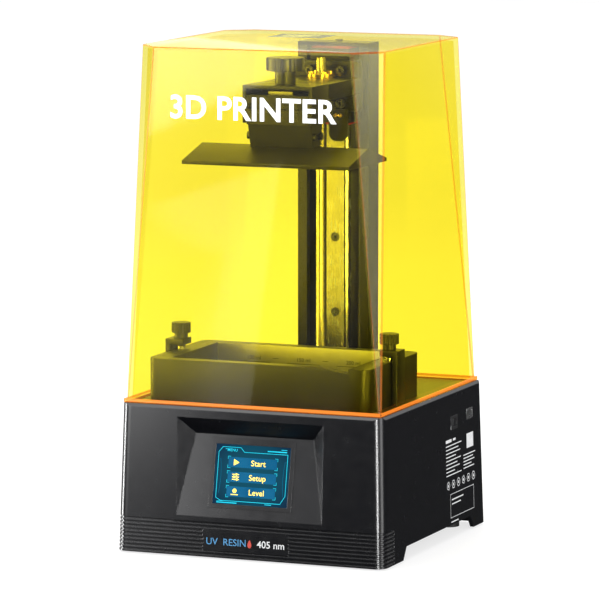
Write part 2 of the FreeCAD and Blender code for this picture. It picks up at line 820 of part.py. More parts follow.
def deck():
    """Top plate with the masking display let into it."""
    plate = new_body("top_plate")
    area = rectangle(around(0, "plate_wide"), around(0, "plate_deep"))
    pad(plate, "plate_sheet", "XY_Plane", ("plate_low", "casing_high"), points=area)
    window = rectangle(around(0, "mask_wide + 2 * fit"), around("light_y", "mask_deep + 2 * fit"))
    pocket(plate, "mask_seat", "XY_Plane", ("casing_high - mask_thick", "casing_high + 1"), points=window)
    light = rectangle(around(0, "mask_wide - 2 * mask_ledge"), around("light_y", "mask_deep - 2 * mask_ledge"))
    pocket(plate, "mask_light", "XY_Plane", ("plate_low - 1", "casing_high"), points=light)
    pocket(plate, "screw_way", "XY_Plane", ("plate_low - 1", "casing_high + 1"),
           circles=[("0", "screw_y", "screw_radius + 1.5")])
    keep("mask_lcd", box("mask_lcd", around(0, "mask_wide"), around("light_y", "mask_deep"),
                         ("casing_high - mask_thick", "casing_high")))


def light_engine():
    """Light box under the display: tapered shroud, lamp board, lamps and a finned heat sink."""
    top = ("mask_wide - 2 * mask_ledge + 4", "mask_deep - 2 * mask_ledge + 4")

    def pyramid(name, inset, low, high):
        return frustum(
            name,
            (low, around(0, f"board_wide - 2 * {inset}"), around("light_y", f"board_deep - 2 * {inset}")),
            (high, around(0, f"{top[0]} - 2 * {inset}"), around("light_y", f"{top[1]} - 2 * {inset}")),
        )

    keep("light_shroud", cut("light_shroud", pyramid("shroud_outer", "0", "shroud_floor", "plate_low"),
                             pyramid("shroud_inner", "shroud_wall", "shroud_floor - 0.01", "plate_low + 0.01")))
    keep("uv_board", box("uv_board", around(0, "board_wide"), around("light_y", "board_deep"),
                         ("board_low", "shroud_floor")))
    lamps = []
    for column in range(count("led_columns")):
        for line in range(count("led_rows")):
            x = around(f"({column} - (led_columns - 1) / 2) * led_pitch_x", "led_side")
            y = around(f"light_y + ({line} - (led_rows - 1) / 2) * led_pitch_y", "led_side")
            lamps.append(box(f"lamp_{column}_{line}", x, y, ("shroud_floor", "shroud_floor + led_high")))
    keep("uv_leds", group("uv_leds", *lamps))
    y = around("light_y", "board_deep")
    ribs = [box("sink_base", around(0, "board_wide"), y, ("board_low - sink_plate", "board_low"))]
    for n in range(count("fin_count")):
        step = f"({n} / (fin_count - 1) - 0.5) * (board_wide - fin_thick)"
        ribs.append(box(f"fin_{n}", around(step, "fin_thick"), y, ("sink_low", "board_low - sink_plate")))
    keep("heat_sink", join("heat_sink", *ribs))


def control_board():
    """Main circuit board on four posts, its connectors and chips, and the screen's flat cable."""
    right, back = "main_left + main_wide", "main_front + main_deep"
    keep("mainboard", box("mainboard", ("main_left", right), ("main_front", back),
                          ("main_low", "main_low + main_thick")))
    spots = [(f"main_left + main_wide / 2 + {side} * (main_wide / 2 - 4)",
              f"main_front + main_deep / 2 + {end} * (main_deep / 2 - 4)") for side, end in CORNERS]
    keep("board_posts", group("board_posts", *[rod(f"board_post_{n}", x, y, ("cover_high", "main_low"), "2.5")
                                               for n, (x, y) in enumerate(spots)]))
    top = "main_low + main_thick"
    chips = [(12, 14, 14, 14, 2), (34, 20, 9, 9, 1.5), (44, 44, 12, 8, 3), (10, 48, 16, 9, 9), (34, 4, 12, 7, 8)]
    keep("board_parts", group("board_parts", *[
        box(f"board_part_{n}", (f"main_left + {x}", f"main_left + {x + wide}"),
            (f"main_front + {y}", f"main_front + {y + deep}"), (top, f"{top} + {high}"))
        for n, (x, y, wide, deep, high) in enumerate(chips)]))
    cable = new_body("screen_ribbon")
    low, high = f"{top} + 8", f"{top} + 8.6"
    line = [("-96", "recess_low + 20"), ("-94", "recess_low + 20"), ("-94", low), ("main_front + 8", low),
            ("main_front + 8", high), ("-93.4", high), ("-93.4", "recess_low + 20.6"), ("-96", "recess_low + 20.6")]
    pad(cable, "ribbon", "YZ_Plane", ("main_left + 35", "main_left + 45"), points=line)


# ---- Lift ----


def drive():
    """Stepping motor on its bracket under the deck, the shaft, the coupler and the lead screw."""
    bore = rod("motor_bore", "0", "screw_y", ("motor_low + 10", "motor_high + 3"), "shaft_radius + run")
    can = box("motor_can", around(0, "motor_side"), around("screw_y", "motor_side"), ("motor_low", "motor_high"))
    can = fillet("motor_can_rounded", can, lambda edge: sheet.get("arm_corner") if upright(edge) else 0)
    boss = rod("motor_boss_disc", "0", "screw_y", ("motor_high - 1", "motor_high + 2"), "motor_boss")
    keep("z_motor", cut("z_motor", join("motor_solid", can, boss), bore))
    sheet_top = "motor_high + mount_sheet"
    mount = new_body("motor_mount")
    half, inner = "mount_half", "(mount_half - mount_sheet)"
    line = [(f"-{half}", "motor_high"), (half, "motor_high"), (half, "plate_low - mount_sheet"),
            (f"{half} + 9", "plate_low - mount_sheet"), (f"{half} + 9", "plate_low"), (inner, "plate_low"),
            (inner, sheet_top), (f"-{inner}", sheet_top), (f"-{inner}", "plate_low"), (f"-{half} - 9", "plate_low"),
            (f"-{half} - 9", "plate_low - mount_sheet"), (f"-{half}", "plate_low - mount_sheet")]
    pad(mount, "mount_sheet_bent", "XZ_Plane", around("screw_y", "motor_side"), points=line)
    pocket(mount, "mount_hole", "XY_Plane", ("motor_high - 1", f"{sheet_top} + 1"),
           circles=[("0", "screw_y", "motor_boss + run")])
    middle = "coupler_low + coupler_long / 2"
    keep("motor_shaft", rod("motor_shaft", "0", "screw_y", ("motor_low + 12", middle), "shaft_radius"))
    sleeve = rod("coupler_rod", "0", "screw_y", ("coupler_low", "coupler_low + coupler_long"), "coupler_radius")
    lower = rod("coupler_bore", "0", "screw_y", ("coupler_low - 1", f"{middle} + 1"), "shaft_radius + fit")
    upper = rod("coupler_socket", "0", "screw_y", (middle, "casing_high"), "screw_radius + fit")
    keep("coupler", cut("coupler", sleeve, lower, upper))
    keep("lead_screw", rod("lead_screw", "0", "screw_y", (f"{middle} + 0.5", "screw_top"), "screw_radius"))


def lift_column():
    """Folded channel, open at the front between two lips, with a closed foot, a cap and the end stop."""
    column = new_body("column")
    half, lip = "(column_wide / 2)", "(column_wide / 2 - column_lip)"
    inner, back, front = f"({half} - column_wall)", "column_back", "column_front"
    web, edge = "web_front", "column_front + column_wall"
    line = [(f"-{half}", front), (f"-{lip}", front), (f"-{lip}", edge), (f"-{inner}", edge), (f"-{inner}", web),
            (inner, web), (inner, edge), (lip, edge), (lip, front), (half, front), (half, back), (f"-{half}", back)]
    pad(column, "channel", "XY_Plane", ("casing_high", "column_top"), points=line)
    pad(column, "channel_foot", "XY_Plane", ("casing_high", "column_foot"),
        points=rectangle((f"-{half}", half), (front, back)))
    rail_holes(column, "web_front - 1", "column_back + 1", "rail_screw + fit")
    cap = box("cap_block", (f"-{half}", half), (front, back), ("column_top", "column_top + cap_thick"))
    top = "column_top + cap_thick"
    hole = rod("cap_hole", "0", "rail_middle", ("column_top - 1", f"{top} + 1"), "small_screw + fit")
    keep("column_cap", cut("column_cap", cap, hole))
    keep("cap_screw", join("cap_screw", rod("cap_shank", "0", "rail_middle", ("column_top - 9", top), "small_screw"),
                           rod("cap_head", "0", "rail_middle", (top, f"{top} + 1.6"), "small_head")))
    stop = box("sensor_block", around("flag_x", "10"), ("arm_front - flag_thick - 4.5", "arm_front + 5.5"),
               ("casing_high", "casing_high + sensor_high"))
    slot = box("sensor_gap", around("flag_x", "20"), ("arm_front - flag_thick - 1.2", "arm_front + 1.2"),
               ("casing_high + sensor_high - sensor_slot", "casing_high + sensor_high + 1"))
    keep("limit_sensor", cut("limit_sensor", stop, slot))


def rail_holes(body, front, back, radius):
    """A row of level holes for the rail's screws."""
    places = [("0", f"rail_first + {n} * rail_pitch", radius) for n in range(count("rail_count"))]
    pocket(body, f"holes_{len(body.Group)}", "XZ_Plane", (front, back), circles=places)


def linear_rail():
    """Grooved steel rail with counterbored screws into the column's web."""
    rail = new_body("rail")
    half, deep = "rail_wide / 2", "(rail_wide / 2 - groove_deep)"
    low, high = "rail_front + 3.6", "rail_front + 8.6"
    line = [(f"-{half}", "rail_front"), (half, "rail_front"), (half, low), (deep, f"{low} + 1"),
            (deep, f"{high} - 1"), (half, high), (half, "web_front"), (f"-{half}", "web_front"), (f"-{half}", high),
            (f"-{deep}", f"{high} - 1"), (f"-{deep}", f"{low} + 1"), (f"-{half}", low)]
    pad(rail, "rail_bar", "XY_Plane", ("rail_low", "rail_top"), points=line)
    rail_holes(rail, "rail_front - 1", "web_front + 1", "rail_screw + fit")
    rail_holes(rail, "rail_front - 1", "rail_front + 5", "rail_head + run")
    pocket(rail, "cap_tap", "XY_Plane", ("rail_top - 10", "rail_top + 1"),
           circles=[("0", "rail_middle", "small_screw + fit")])
    screws = []
    for n in range(count("rail_count")):
        z = f"rail_first + {n} * rail_pitch"
        shank = rod(f"rail_shank_{n}", "0", ("rail_front + 4", "column_back"), z, "rail_screw")
        head = rod(f"rail_head_{n}", "0", ("rail_front + 0.8", "rail_front + 5"), z, "rail_head")
        socket = rod(f"rail_hex_{n}", "0", ("rail_front", "rail_front + 2.8"), z, "1.5")
        screws.append(cut(f"rail_screw_{n}", join(f"rail_bolt_{n}", shank, head), socket))
    keep("rail_screws", group("rail_screws", *screws))


# ---- Carriage ----


def saddle(name, side_inset, front_inset, z):
    """A block of the carriage with the rail's channel through it."""
    x = around(0, f"block_wide - 2 * {side_inset}")
    solid = box(name, x, (f"block_front + {front_inset}", f"block_back - {front_inset}"), z)
    channel = box(f"{name}_way", around(0, "rail_wide + 2 * gap"), ("rail_front - gap", "block_back + 1"),
                  (f"{z[0]} - 1", f"{z[1]} + 1"))
    return cut(f"{name}_cut", solid, channel)


def carriage():
    """Rail carriage: steel block with ball tracks in the rail's grooves, plastic ends and red wipers."""
    steel = ("block_low + end_long + seal_thick", "block_top - end_long - seal_thick")
    tracks = [
        box(f"track_{side}", around(f"{side} * (rail_wide / 2 - groove_deep / 2 + gap)", "groove_deep"),
            ("rail_front + 5.2", "rail_front + 7"), steel)
        for side in (-1, 1)
    ]
    bolts = [
        rod(f"block_tap_{n}", f"{side} * bolt_pitch / 2", ("block_front - 1", "block_front + 9"),
            f"block_middle + {end} * bolt_pitch / 2", "rail_screw + fit")
        for n, (side, end) in enumerate(CORNERS)
    ]
    keep("carriage_block", cut("carriage_block", join("block_body", saddle("block", "0", "0", steel), *tracks), *bolts))
    lower = ("block_low + seal_thick", "block_low + seal_thick + end_long")
    upper = ("block_top - seal_thick - end_long", "block_top - seal_thick")
    keep("carriage_ends", group("carriage_ends", saddle("end_low", "0.8", "0.8", lower),
                                saddle("end_high", "0.8", "0.8", upper)))
    wipers = [saddle("wiper_low", "1.6", "1.6", ("block_low", "block_low + seal_thick")),
              saddle("wiper_high", "1.6", "1.6", ("block_top - seal_thick", "block_top"))]
    keep("carriage_seals", group("carriage_seals", *wipers))


def lift_arm():
    """Arm: a plate bolted to the carriage, with a slab reaching forward and a tab for the end stop's flag."""
    arm = new_body("lift_arm")
    pad(arm, "arm_plate", "XZ_Plane", ("arm_front", "block_front"),
        points=rectangle(around(0, "arm_wide"), ("arm_low", "arm_high")))
    soften(arm, "arm_corners", "arm_corner", lambda edge: abs(edge.Vertexes[0].Y - edge.Vertexes[-1].Y) > 1)
    pad(arm, "arm_tab", "XZ_Plane", ("arm_front", "block_front"),
        points=rectangle(around("flag_x", "flag_wide - 2"), ("flag_screw_z - 5", "arm_low + 3")))
    pad(arm, "arm_slab", "XY_Plane", ("slab_low", "slab_high"),
        points=rectangle(around(0, "slab_wide"), ("clamp_back", "arm_front")))
    nut_spots = [(x, y) for x, y, _ in nut_screw_spots()]
    pocket(arm, "nut_way", "XY_Plane", ("slab_low - 1", "slab_high + 1"),
           circles=[("0", "screw_y", "nut_body + run")])
    pocket(arm, "nut_taps", "XY_Plane", ("slab_low + 2", "slab_high + 1"),
           circles=[(x, y, "1.2 + fit") for x, y in nut_spots])
    bolts = [(f"{side} * bolt_pitch / 2", f"block_middle + {end} * bolt_pitch / 2") for side, end in CORNERS]
    pocket(arm, "bolt_ways", "XZ_Plane", ("arm_front - 1", "block_front + 1"),
           circles=[(x, z, "rail_screw + run") for x, z in bolts])
    flags = [(f"flag_x + {side} * flag_screw_pitch / 2", "flag_screw_z") for side in (-1, 1)]
    pocket(arm, "flag_taps", "XZ_Plane", ("arm_front - 1", "arm_front + 5"), circles=[(x, z, "0.8 + fit") for x, z in flags])
    screws = []
    for n, (x, z) in enumerate(bolts):
        shank = rod(f"arm_shank_{n}", x, ("arm_front - 1", "block_front + 8"), z, "rail_screw")
        head = rod(f"arm_head_{n}", x, ("arm_front - 4", "arm_front"), z, "rail_head")
        socket = rod(f"arm_hex_{n}", x, ("arm_front - 5", "arm_front - 2"), z, "1.5")
        screws.append(cut(f"arm_screw_{n}", join(f"arm_bolt_{n}", shank, head), socket))
    keep("arm_screws", group("arm_screws", *screws))
    flag = new_body("limit_flag")
    pad(flag, "flag_sheet", "XZ_Plane", ("arm_front - flag_thick", "arm_front"),
        points=rectangle(around("flag_x", "flag_wide"), ("flag_low", "flag_high")))
    lowest = sheet.get("casing_high") + sheet.get("flag_low_over") + 0.1
    soften(flag, "flag_corners", "flag_corner",
           lambda edge: abs(edge.Vertexes[0].Y - edge.Vertexes[-1].Y) > 1 and edge.CenterOfMass.z < lowest)
    pocket(flag, "flag_holes", "XZ_Plane", ("arm_front - flag_thick - 1", "arm_front + 1"),
           circles=[(x, z, "0.8 + run") for x, z in flags])
    front = "arm_front - flag_thick"
    keep("flag_screws", group("flag_screws", *[
        join(f"flag_screw_{n}", rod(f"flag_shank_{n}", x, (front, "arm_front + 4"), z, "0.8"),
             rod(f"flag_head_{n}", x, (f"{front} - 1.2", front), z, "1.6"))
        for n, (x, z) in enumerate(flags)]))


def nut_screw_spots():
    """Four screws round the nut, turned an eighth so that they clear the arm."""
    reach = "nut_circle * sqrt(0.5)"
    return [(f"{side} * {reach}", f"screw_y + {end} * {reach}", n) for n, (side, end) in enumerate(CORNERS)]


def lead_nut():
    """Flanged brass nut on the slab and its screws."""
    top = "slab_high + nut_flange"
    solid = join("nut_solid", rod("nut_disc", "0", "screw_y", ("slab_high", top), "nut_radius"),
                 rod("nut_barrel", "0", "screw_y", ("slab_low - 1.5", "slab_high + 1"), "nut_body"))
    bore = rod("nut_thread", "0", "screw_y", ("slab_low - 5", f"{top} + 5"), "screw_radius + run")
    holes = [rod(f"nut_hole_{n}", x, y, ("slab_high - 1", f"{top} + 1"), "1.2 + fit") for x, y, n in nut_screw_spots()]
    keep("screw_nut", cut("screw_nut", solid, bore, *holes))
    keep("nut_screws", group("nut_screws", *[
        join(f"nut_screw_{n}", rod(f"nut_shank_{n}", x, y, ("slab_high - 6", top), "1.2"),
             rod(f"nut_head_{n}", x, y, (top, f"{top} + 1.8"), "2"))
        for x, y, n in nut_screw_spots()]))


# ---- Build plate and its clamp ----


def fluted_knob(label, x, y, thread, stem, grip, radii, flutes):
    """A hand screw: thread, plain stem and a grip with flutes cut round its rim."""
    knob = new_body(label)
    thread_radius, stem_radius, grip_radius, flute_radius = radii
    pad(knob, f"{label}_thread", "XY_Plane", (thread, grip[0]), circles=[("0", "0", thread_radius)])
    pad(knob, f"{label}_stem", "XY_Plane", (stem, grip[0]), circles=[("0", "0", stem_radius)])
    pad(knob, f"{label}_grip", "XY_Plane", grip, circles=[("0", "0", grip_radius)])
    soften(knob, f"{label}_edge", "0.8", lambda edge: edge.Length > 6.2 * (sheet.get(grip_radius) - 0.1)
           and edge.CenterOfMass.z > 100)
    flute = pocket(knob, f"{label}_flute", "XY_Plane", (f"{grip[0]} - 1", f"{grip[1]} + 1"),
                   circles=[(f"{grip_radius} + {flute_radius} * 0.35", "0", flute_radius)])
    ring_of(knob, f"{label}_flutes", flute, flute.Profile[0], flutes)
    bind(knob, {"Placement.Base.x": x, "Placement.Base.y": y})


def plate_clamp():
    """Housing that carries the build plate's head on two rails, with a pressure pad and a hand screw."""
    outer = box("housing_block", around(0, "clamp_wide"), ("clamp_front", "clamp_back"), ("clamp_low", "clamp_high"))
    room = box("housing_room", around(0, "clamp_wide - 2 * clamp_wall"), ("clamp_front - 1", "clamp_back - clamp_wall"),
               ("clamp_low - 1", "clamp_high - clamp_wall"))
    rails = [
        box(f"tee_rail_{side}", around(f"{side} * (clamp_wide / 2 - clamp_wall - tee_deep / 2 + 0.5)", "tee_deep + 1"),
            ("clamp_front + tee_deep + gap", "clamp_back - 1"), ("tee_low + gap", "tee_high - gap"))
        for side in (-1, 1)
    ]
    way = rod("knob_way", "0", "clamp_y", ("clamp_high - clamp_wall - 1", "clamp_high + 1"), "thread_radius + run")
    keep("clamp_housing", cut("clamp_housing", join("housing_frame", cut("housing_u", outer, room), *rails), way))
    keep("clamp_pad", box("clamp_pad", around(0, "press_side"), around("clamp_y", "press_side"),
                          ("head_top", "press_top")))
    fluted_knob("clamp_knob", "0", "clamp_y", "press_top", "clamp_high", ("knob_low", "knob_high"),
                ("thread_radius", "knob_stem", "knob_radius", "knob_flute"), "knob_flutes")


def build_plate():
    """Machined plate with a low roof, its neck and grooved head, and the levelling screws."""
    plate = new_body("build_plate")
    edge, ridge = "build_low + build_edge", "build_low + build_ridge"
    line = [("build_front", "build_low"), ("build_back", "build_low"), ("build_back", edge), ("build_y", ridge),
            ("build_front", edge)]
    pad(plate, "plate_roof", "YZ_Plane", around(0, "build_wide"), points=line)
    head = box("head_block", around(0, "2 * head_half"), ("clamp_front + gap", "clamp_back - clamp_wall - gap"),
               ("clamp_low - 1", "head_top"))
    neck = frustum(
        "neck_block",
        ("build_low + build_edge", around(0, "neck_wide"), ("-neck_front + neck_taper", "-neck_back - neck_taper / 2")),
        ("clamp_low - gap", around(0, "neck_wide"), ("-neck_front", "-neck_back")),
    )
    depth = "(tee_deep + gap)"
    z = ("tee_low - gap", "tee_high + gap")
    y = ("clamp_front - 1", "clamp_back + 1")
    grooves = [
        box("groove_left", ("-head_half - 1", f"-head_half + {depth}"), y, z),
        box("groove_right", (f"head_half - {depth}", "head_half + 1"), y, z),
        box("groove_front", around(0, "2 * head_half + 2"), ("clamp_front - 1", f"clamp_front + gap + {depth}"), z),
    ]
    screws, taps = [], []
    for n, (side, end) in enumerate(CORNERS):
        y = f"-(neck_front + neck_back) / 2 + {end} * level_pitch / 2"
        inner = f"{side} * (neck_wide / 2 - 8)"
        face = f"{side} * neck_wide / 2"
        reach = (inner, face) if side > 0 else (face, inner)
        crown = (face, f"{face} + 2.5") if side > 0 else (f"{face} - 2.5", face)
        screws.append(join(f"level_screw_{n}", rod(f"level_shank_{n}", reach, y, "level_z", "rail_screw"),
                           rod(f"level_head_{n}", crown, y, "level_z", "rail_head - 0.5")))
        taps.append(rod(f"level_tap_{n}", reach, y, "level_z", "rail_screw + fit"))
    solid = join("head_solid", head, neck)
    keep("plate_head", cut("plate_head", solid, plate, *grooves, *taps))
    keep("level_screws", group("level_screws", *screws))


# ---- Vat and its clamps ----


def vat():
    """Resin vat: thick sides to stand the clamps on, a pouring lip, and a film held by a screwed frame."""
    item = new_body("vat")
    pad(item, "vat_block", "XY_Plane", ("casing_high", "vat_top"),
        points=rectangle(around(0, "vat_wide"), ("vat_front", "vat_back")))
    soften(item, "vat_corners", "vat_corner", upright)
    pocket(item, "vat_mouth", "XY_Plane", ("casing_high - 1", "vat_top + 1"),
           points=rectangle(around(0, "vat_mouth_wide"), around("light_y", "vat_mouth_deep")))
    pocket(item, "frame_seat", "XY_Plane", ("casing_high - 1", "frame_top"),
           points=rectangle(around(0, "frame_wide + 2 * run"), around("light_y", "frame_deep + 2 * run")))
    edge = "vat_mouth_wide / 2"
    spout = [(f"{edge} - spout_wide", "vat_top"), (edge, "vat_top - spout_deep"), (edge, "vat_top + 1"),
             (f"{edge} - spout_wide", "vat_top + 1")]
    pocket(item, "spout", "XZ_Plane", ("vat_front - 1", "light_y"), points=spout)
    spots = [(f"{side} * film_screw_x", f"light_y + {n} * frame_deep * 0.12")
             for side in (-1, 1) for n in (-3, -1, 1, 3)]
    pocket(item, "film_taps", "XY_Plane", ("frame_top - 1", "frame_top + 7"),
           circles=[(x, y, "film_screw + fit") for x, y in spots])
    frame = new_body("film_frame")
    pad(frame, "frame_ring", "XY_Plane", ("frame_low", "frame_top"),
        points=rectangle(around(0, "frame_wide"), around("light_y", "frame_deep")))
    pocket(frame, "frame_window", "XY_Plane", ("frame_low - 1", "frame_top + 1"),
           points=rectangle(around(0, "window_wide"), around("light_y", "window_deep")))
    pocket(frame, "frame_holes", "XY_Plane", ("frame_low - 1", "frame_top + 1"),
           circles=[(x, y, "film_screw + fit") for x, y in spots])
    pocket(frame, "frame_sinks", "XY_Plane", ("frame_low - 1", "frame_low + 2"),
           circles=[(x, y, "film_head + fit") for x, y in spots])
    keep("release_film", box("release_film", around(0, "window_wide + 2 * film_border"),
                             around("light_y", "window_deep + 2 * film_border"), ("film_low", "frame_low")))
    keep("film_screws", group("film_screws", *[
        join(f"film_screw_{n}", rod(f"film_shank_{n}", x, y, ("frame_low + 1", "frame_top + 6"), "film_screw"),
             rod(f"film_head_{n}", x, y, ("frame_low + 0.4", "frame_low + 2"), "film_head"))
        for n, (x, y) in enumerate(spots)]))


def vat_clamp(hand, side):
    """A hook on the deck beside the vat, with a hand screw and its pad over the vat's side."""
    bracket = new_body(f"{hand}_hook")
    low, high, y = "hook_low", "hook_high", ("hook_front", "hook_back")
    post, out, inward = (f"{side} * {name}" for name in ("hook_post", "hook_out", "hook_in"))
    line = [(post, "casing_high"), (out, "casing_high"), (out, high), (inward, high), (inward, low), (post, low)]
    pad(bracket, f"{hand}_hook_bar", "XZ_Plane", y, points=line)
    pocket(bracket, f"{hand}_hook_way", "XY_Plane", (f"{low} - 1", f"{high} + 1"),
           circles=[(f"{side} * thumb_x", "hook_y", "thread_radius + run")])
    pad_top = "vat_top + thumb_pad_high"
    keep(f"{hand}_pad", rod(f"{hand}_pad", f"{side} * thumb_x", "hook_y", ("vat_top", pad_top), "thumb_pad"))
    fluted_knob(f"{hand}_thumb", f"{side} * thumb_x", "hook_y", pad_top, "hook_high", ("thumb_low", "thumb_high"),
                ("thread_radius", "thumb_stem", "thumb_radius", "thumb_flute"), "thumb_flutes")


# ---- Hood ----


def crown_points(scale, inset):
    """Octagon with cut corners: scale 1 is the crown, and the seed scale the sharp-cornered skirt."""
    wall = f"({inset})"
    if scale == "1":
        side, front, back = "(crown_wide / 2", "(crown_front", "(crown_back"
    else:
        side, front, back = "(skirt_wide / 2", "(skirt_deep / 2", "(skirt_deep / 2"
    side, front, back = f"{side} - {wall})", f"{front} - {wall})", f"{back} - {wall})"
    front_x, front_y = f"{scale} * corner_x", f"{scale} * corner_y"
    back_x, back_y = f"{scale} * back_corner_x", f"{scale} * back_corner_y"
    return [
        (f"-{side} + {front_x}", f"-{front}"), (f"{side} - {front_x}", f"-{front}"),
        (side, f"-{front} + {front_y}"), (side, f"{back} - {back_y}"),
        (f"{side} - {back_x}", back), (f"-{side} + {back_x}", back),
        (f"-{side}", f"{back} - {back_y}"), (f"-{side}", f"-{front} + {front_y}"),
    ]


def hood():
    """Clear hood glued from flat sheets: leaning walls, corner facets that widen upward, and a flange."""
    item = new_body("hood")
    for kind, name, inset, low, high in (
        ("AdditiveLoft", "hood_outside", "0", "casing_high", "hood_top"),
        ("SubtractiveLoft", "hood_inside", "hood_wall", "casing_high - 1", "hood_top - hood_wall"),
    ):
        skirt = sketch(item, f"{name}_skirt", "XY_Plane", low, crown_points("corner_seed", inset))
        crown = sketch(item, f"{name}_crown", "XY_Plane", high, crown_points("1", inset))
        loft = item.newObject(f"PartDesign::{kind}", name)
        loft.Profile = skirt
        loft.Sections = [crown]
        loft.Ruled = True
        item.Tip = loft
        if kind == "AdditiveLoft":
            pad(item, "hood_flange", "XY_Plane", ("casing_high", "flange_top"),
                points=rectangle(around(0, "flange_wide"), around(0, "flange_deep")))


for build in (
    base_casing, screen_parts, side_fittings, back_fittings, underside, deck, light_engine, control_board,
    drive, lift_column, linear_rail, carriage, lift_arm, lead_nut, plate_clamp, build_plate, vat,
):
    build()
vat_clamp("left", -1)
vat_clamp("right", 1)
hood()
doc.recompute()

# ---- Checks and export ----

failed = [item.Name for item in doc.Objects if "Invalid" in item.State or "Error" in item.State]
if failed:
    raise RuntimeError(f"objects that failed: {failed}")
for label, item in parts.items():
    if item.Shape.isNull() or not item.Shape.isValid() or not item.Shape.Solids:
        raise RuntimeError(f"{label} has no valid solid")
os.makedirs("parts", exist_ok=True)
for label, item in parts.items():
    item.Shape.exportStep(f"parts/{label}.step")
print(len(parts), "sub-parts written")
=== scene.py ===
import math

import bmesh
import bpy
import numpy as np
from mathutils import Matrix, Vector


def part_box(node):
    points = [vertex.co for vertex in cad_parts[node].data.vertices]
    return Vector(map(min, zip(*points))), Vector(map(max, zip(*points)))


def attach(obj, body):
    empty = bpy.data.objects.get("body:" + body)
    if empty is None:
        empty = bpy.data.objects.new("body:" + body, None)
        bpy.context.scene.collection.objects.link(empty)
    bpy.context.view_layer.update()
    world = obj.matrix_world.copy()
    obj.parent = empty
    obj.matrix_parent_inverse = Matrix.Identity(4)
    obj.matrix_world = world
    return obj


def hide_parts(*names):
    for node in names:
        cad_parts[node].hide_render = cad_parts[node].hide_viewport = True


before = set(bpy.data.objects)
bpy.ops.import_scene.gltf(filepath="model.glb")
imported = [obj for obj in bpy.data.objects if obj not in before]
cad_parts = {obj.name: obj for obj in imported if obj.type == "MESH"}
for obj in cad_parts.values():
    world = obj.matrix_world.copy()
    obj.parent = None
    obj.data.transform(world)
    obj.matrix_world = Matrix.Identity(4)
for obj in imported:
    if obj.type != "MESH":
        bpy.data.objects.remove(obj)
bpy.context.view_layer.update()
MM = 0.001


# The base casing is one moulding of black ABS with a fine satin texture, open at the
# bottom. Its walls lean in, a chamfer runs round the top, and nine grooves go round
# the foot of the front and the sides.
class Wire:
    """One output of a material's nodes. Arithmetic on it adds a Math node, so a mask is
    written as an expression."""

    def __init__(self, tree, socket):
        self.tree = tree
        self.socket = socket

    def maths(self, operation, *others):
        """A Math node whose inputs are the others, in order, each a Wire or a number."""
        made = self.tree.nodes.new("ShaderNodeMath")
        made.operation = operation
        for place, value in enumerate(others):
            if isinstance(value, Wire):
                self.tree.links.new(value.socket, made.inputs[place])
            else:
                made.inputs[place].default_value = value
        return Wire(self.tree, made.outputs[0])

    def __add__(self, other):
        return self.maths("ADD", self, other)

    def __radd__(self, other):
        return self.maths("ADD", other, self)

    def __sub__(self, other):
        return self.maths("SUBTRACT", self, other)

    def __rsub__(self, other):
        return self.maths("SUBTRACT", other, self)

    def __mul__(self, other):
        return self.maths("MULTIPLY", self, other)

    def __rmul__(self, other):
        return self.maths("MULTIPLY", other, self)

    def __truediv__(self, other):
        return self.maths("DIVIDE", self, other)

    def __pow__(self, other):
        return self.maths("POWER", self, other)


class Finish:
    """One material, built up node by node. node() takes the type of a node, its
    settings, its sockets by name or number, and which output to return."""

    def __init__(self, name):
        self.material = bpy.data.materials.new(name)
        self.material.use_nodes = True
        self.tree = self.material.node_tree
        self.tree.nodes.clear()
        self.place = self.node("ShaderNodeTexCoord", output="Object")

    def node(self, kind, settings=None, sockets=None, output=0):
        made = self.tree.nodes.new(kind)
        for key, value in (settings or {}).items():
            setattr(made, key, value)
        for key, value in (sockets or {}).items():
            if isinstance(value, Wire):
                self.tree.links.new(value.socket, made.inputs[key])
            else:
                made.inputs[key].default_value = value
        return Wire(self.tree, made.outputs[output]) if made.outputs else made

    def noise(self, scale, detail=2.0, at=None):
        """Cloudy noise between about 0.25 and 0.75, with this many cells to a metre."""
        sockets = {"Vector": at or self.place, "Scale": scale, "Detail": detail}
        return self.node("ShaderNodeTexNoise", {}, sockets)

    def spread(self, value, low, high):
        """0 below low, 1 above high, and a smooth step between them."""
        settings = {"interpolation_type": "SMOOTHSTEP"}
        return self.node("ShaderNodeMapRange", settings, {0: value, 1: low, 2: high})

    def mix(self, factor, first, second):
        """The first colour where factor is 0 and the second where it is 1."""
        first, second = (c if isinstance(c, Wire) else (*c, 1) for c in (first, second))
        sockets = {0: factor, 6: first, 7: second}
        return self.node("ShaderNodeMix", {"data_type": "RGBA"}, sockets, 2)

    def along(self, axis):
        """How far a point is along X, Y or Z of the object, in metres."""
        return self.node("ShaderNodeSeparateXYZ", {}, {0: self.place}, axis)

    def stretched(self, x, y, z):
        """The place of a point with each axis scaled, which draws a noise out."""
        return self.node("ShaderNodeMapping", {}, {"Vector": self.place, "Scale": (x, y, z)})

    def rounded(self, radius):
        """The normal as if each edge were rounded over to this radius."""
        return self.node("ShaderNodeBevel", {"samples": 4}, {"Radius": radius})

    def bump(self, height, depth, normal=None):
        """The normal over relief of this depth in metres, on top of another normal."""
        sockets = {"Height": height, "Distance": depth, "Strength": 1.0}
        if normal:
            sockets["Normal"] = normal
        return self.node("ShaderNodeBump", {}, sockets)

    def shade(self, **sockets):
        """The one shader of the material, with its sockets named as words_with_bars."""
        named = {key.replace("_", " "): value for key, value in sockets.items()}
        named.setdefault("IOR", 1.5)
        return self.node("ShaderNodeBsdfPrincipled", {}, named)

    def done(self, shader):
        """The finished material, with this shader on its surface."""
        self.node("ShaderNodeOutputMaterial", {}, {"Surface": shader})
        return self.material


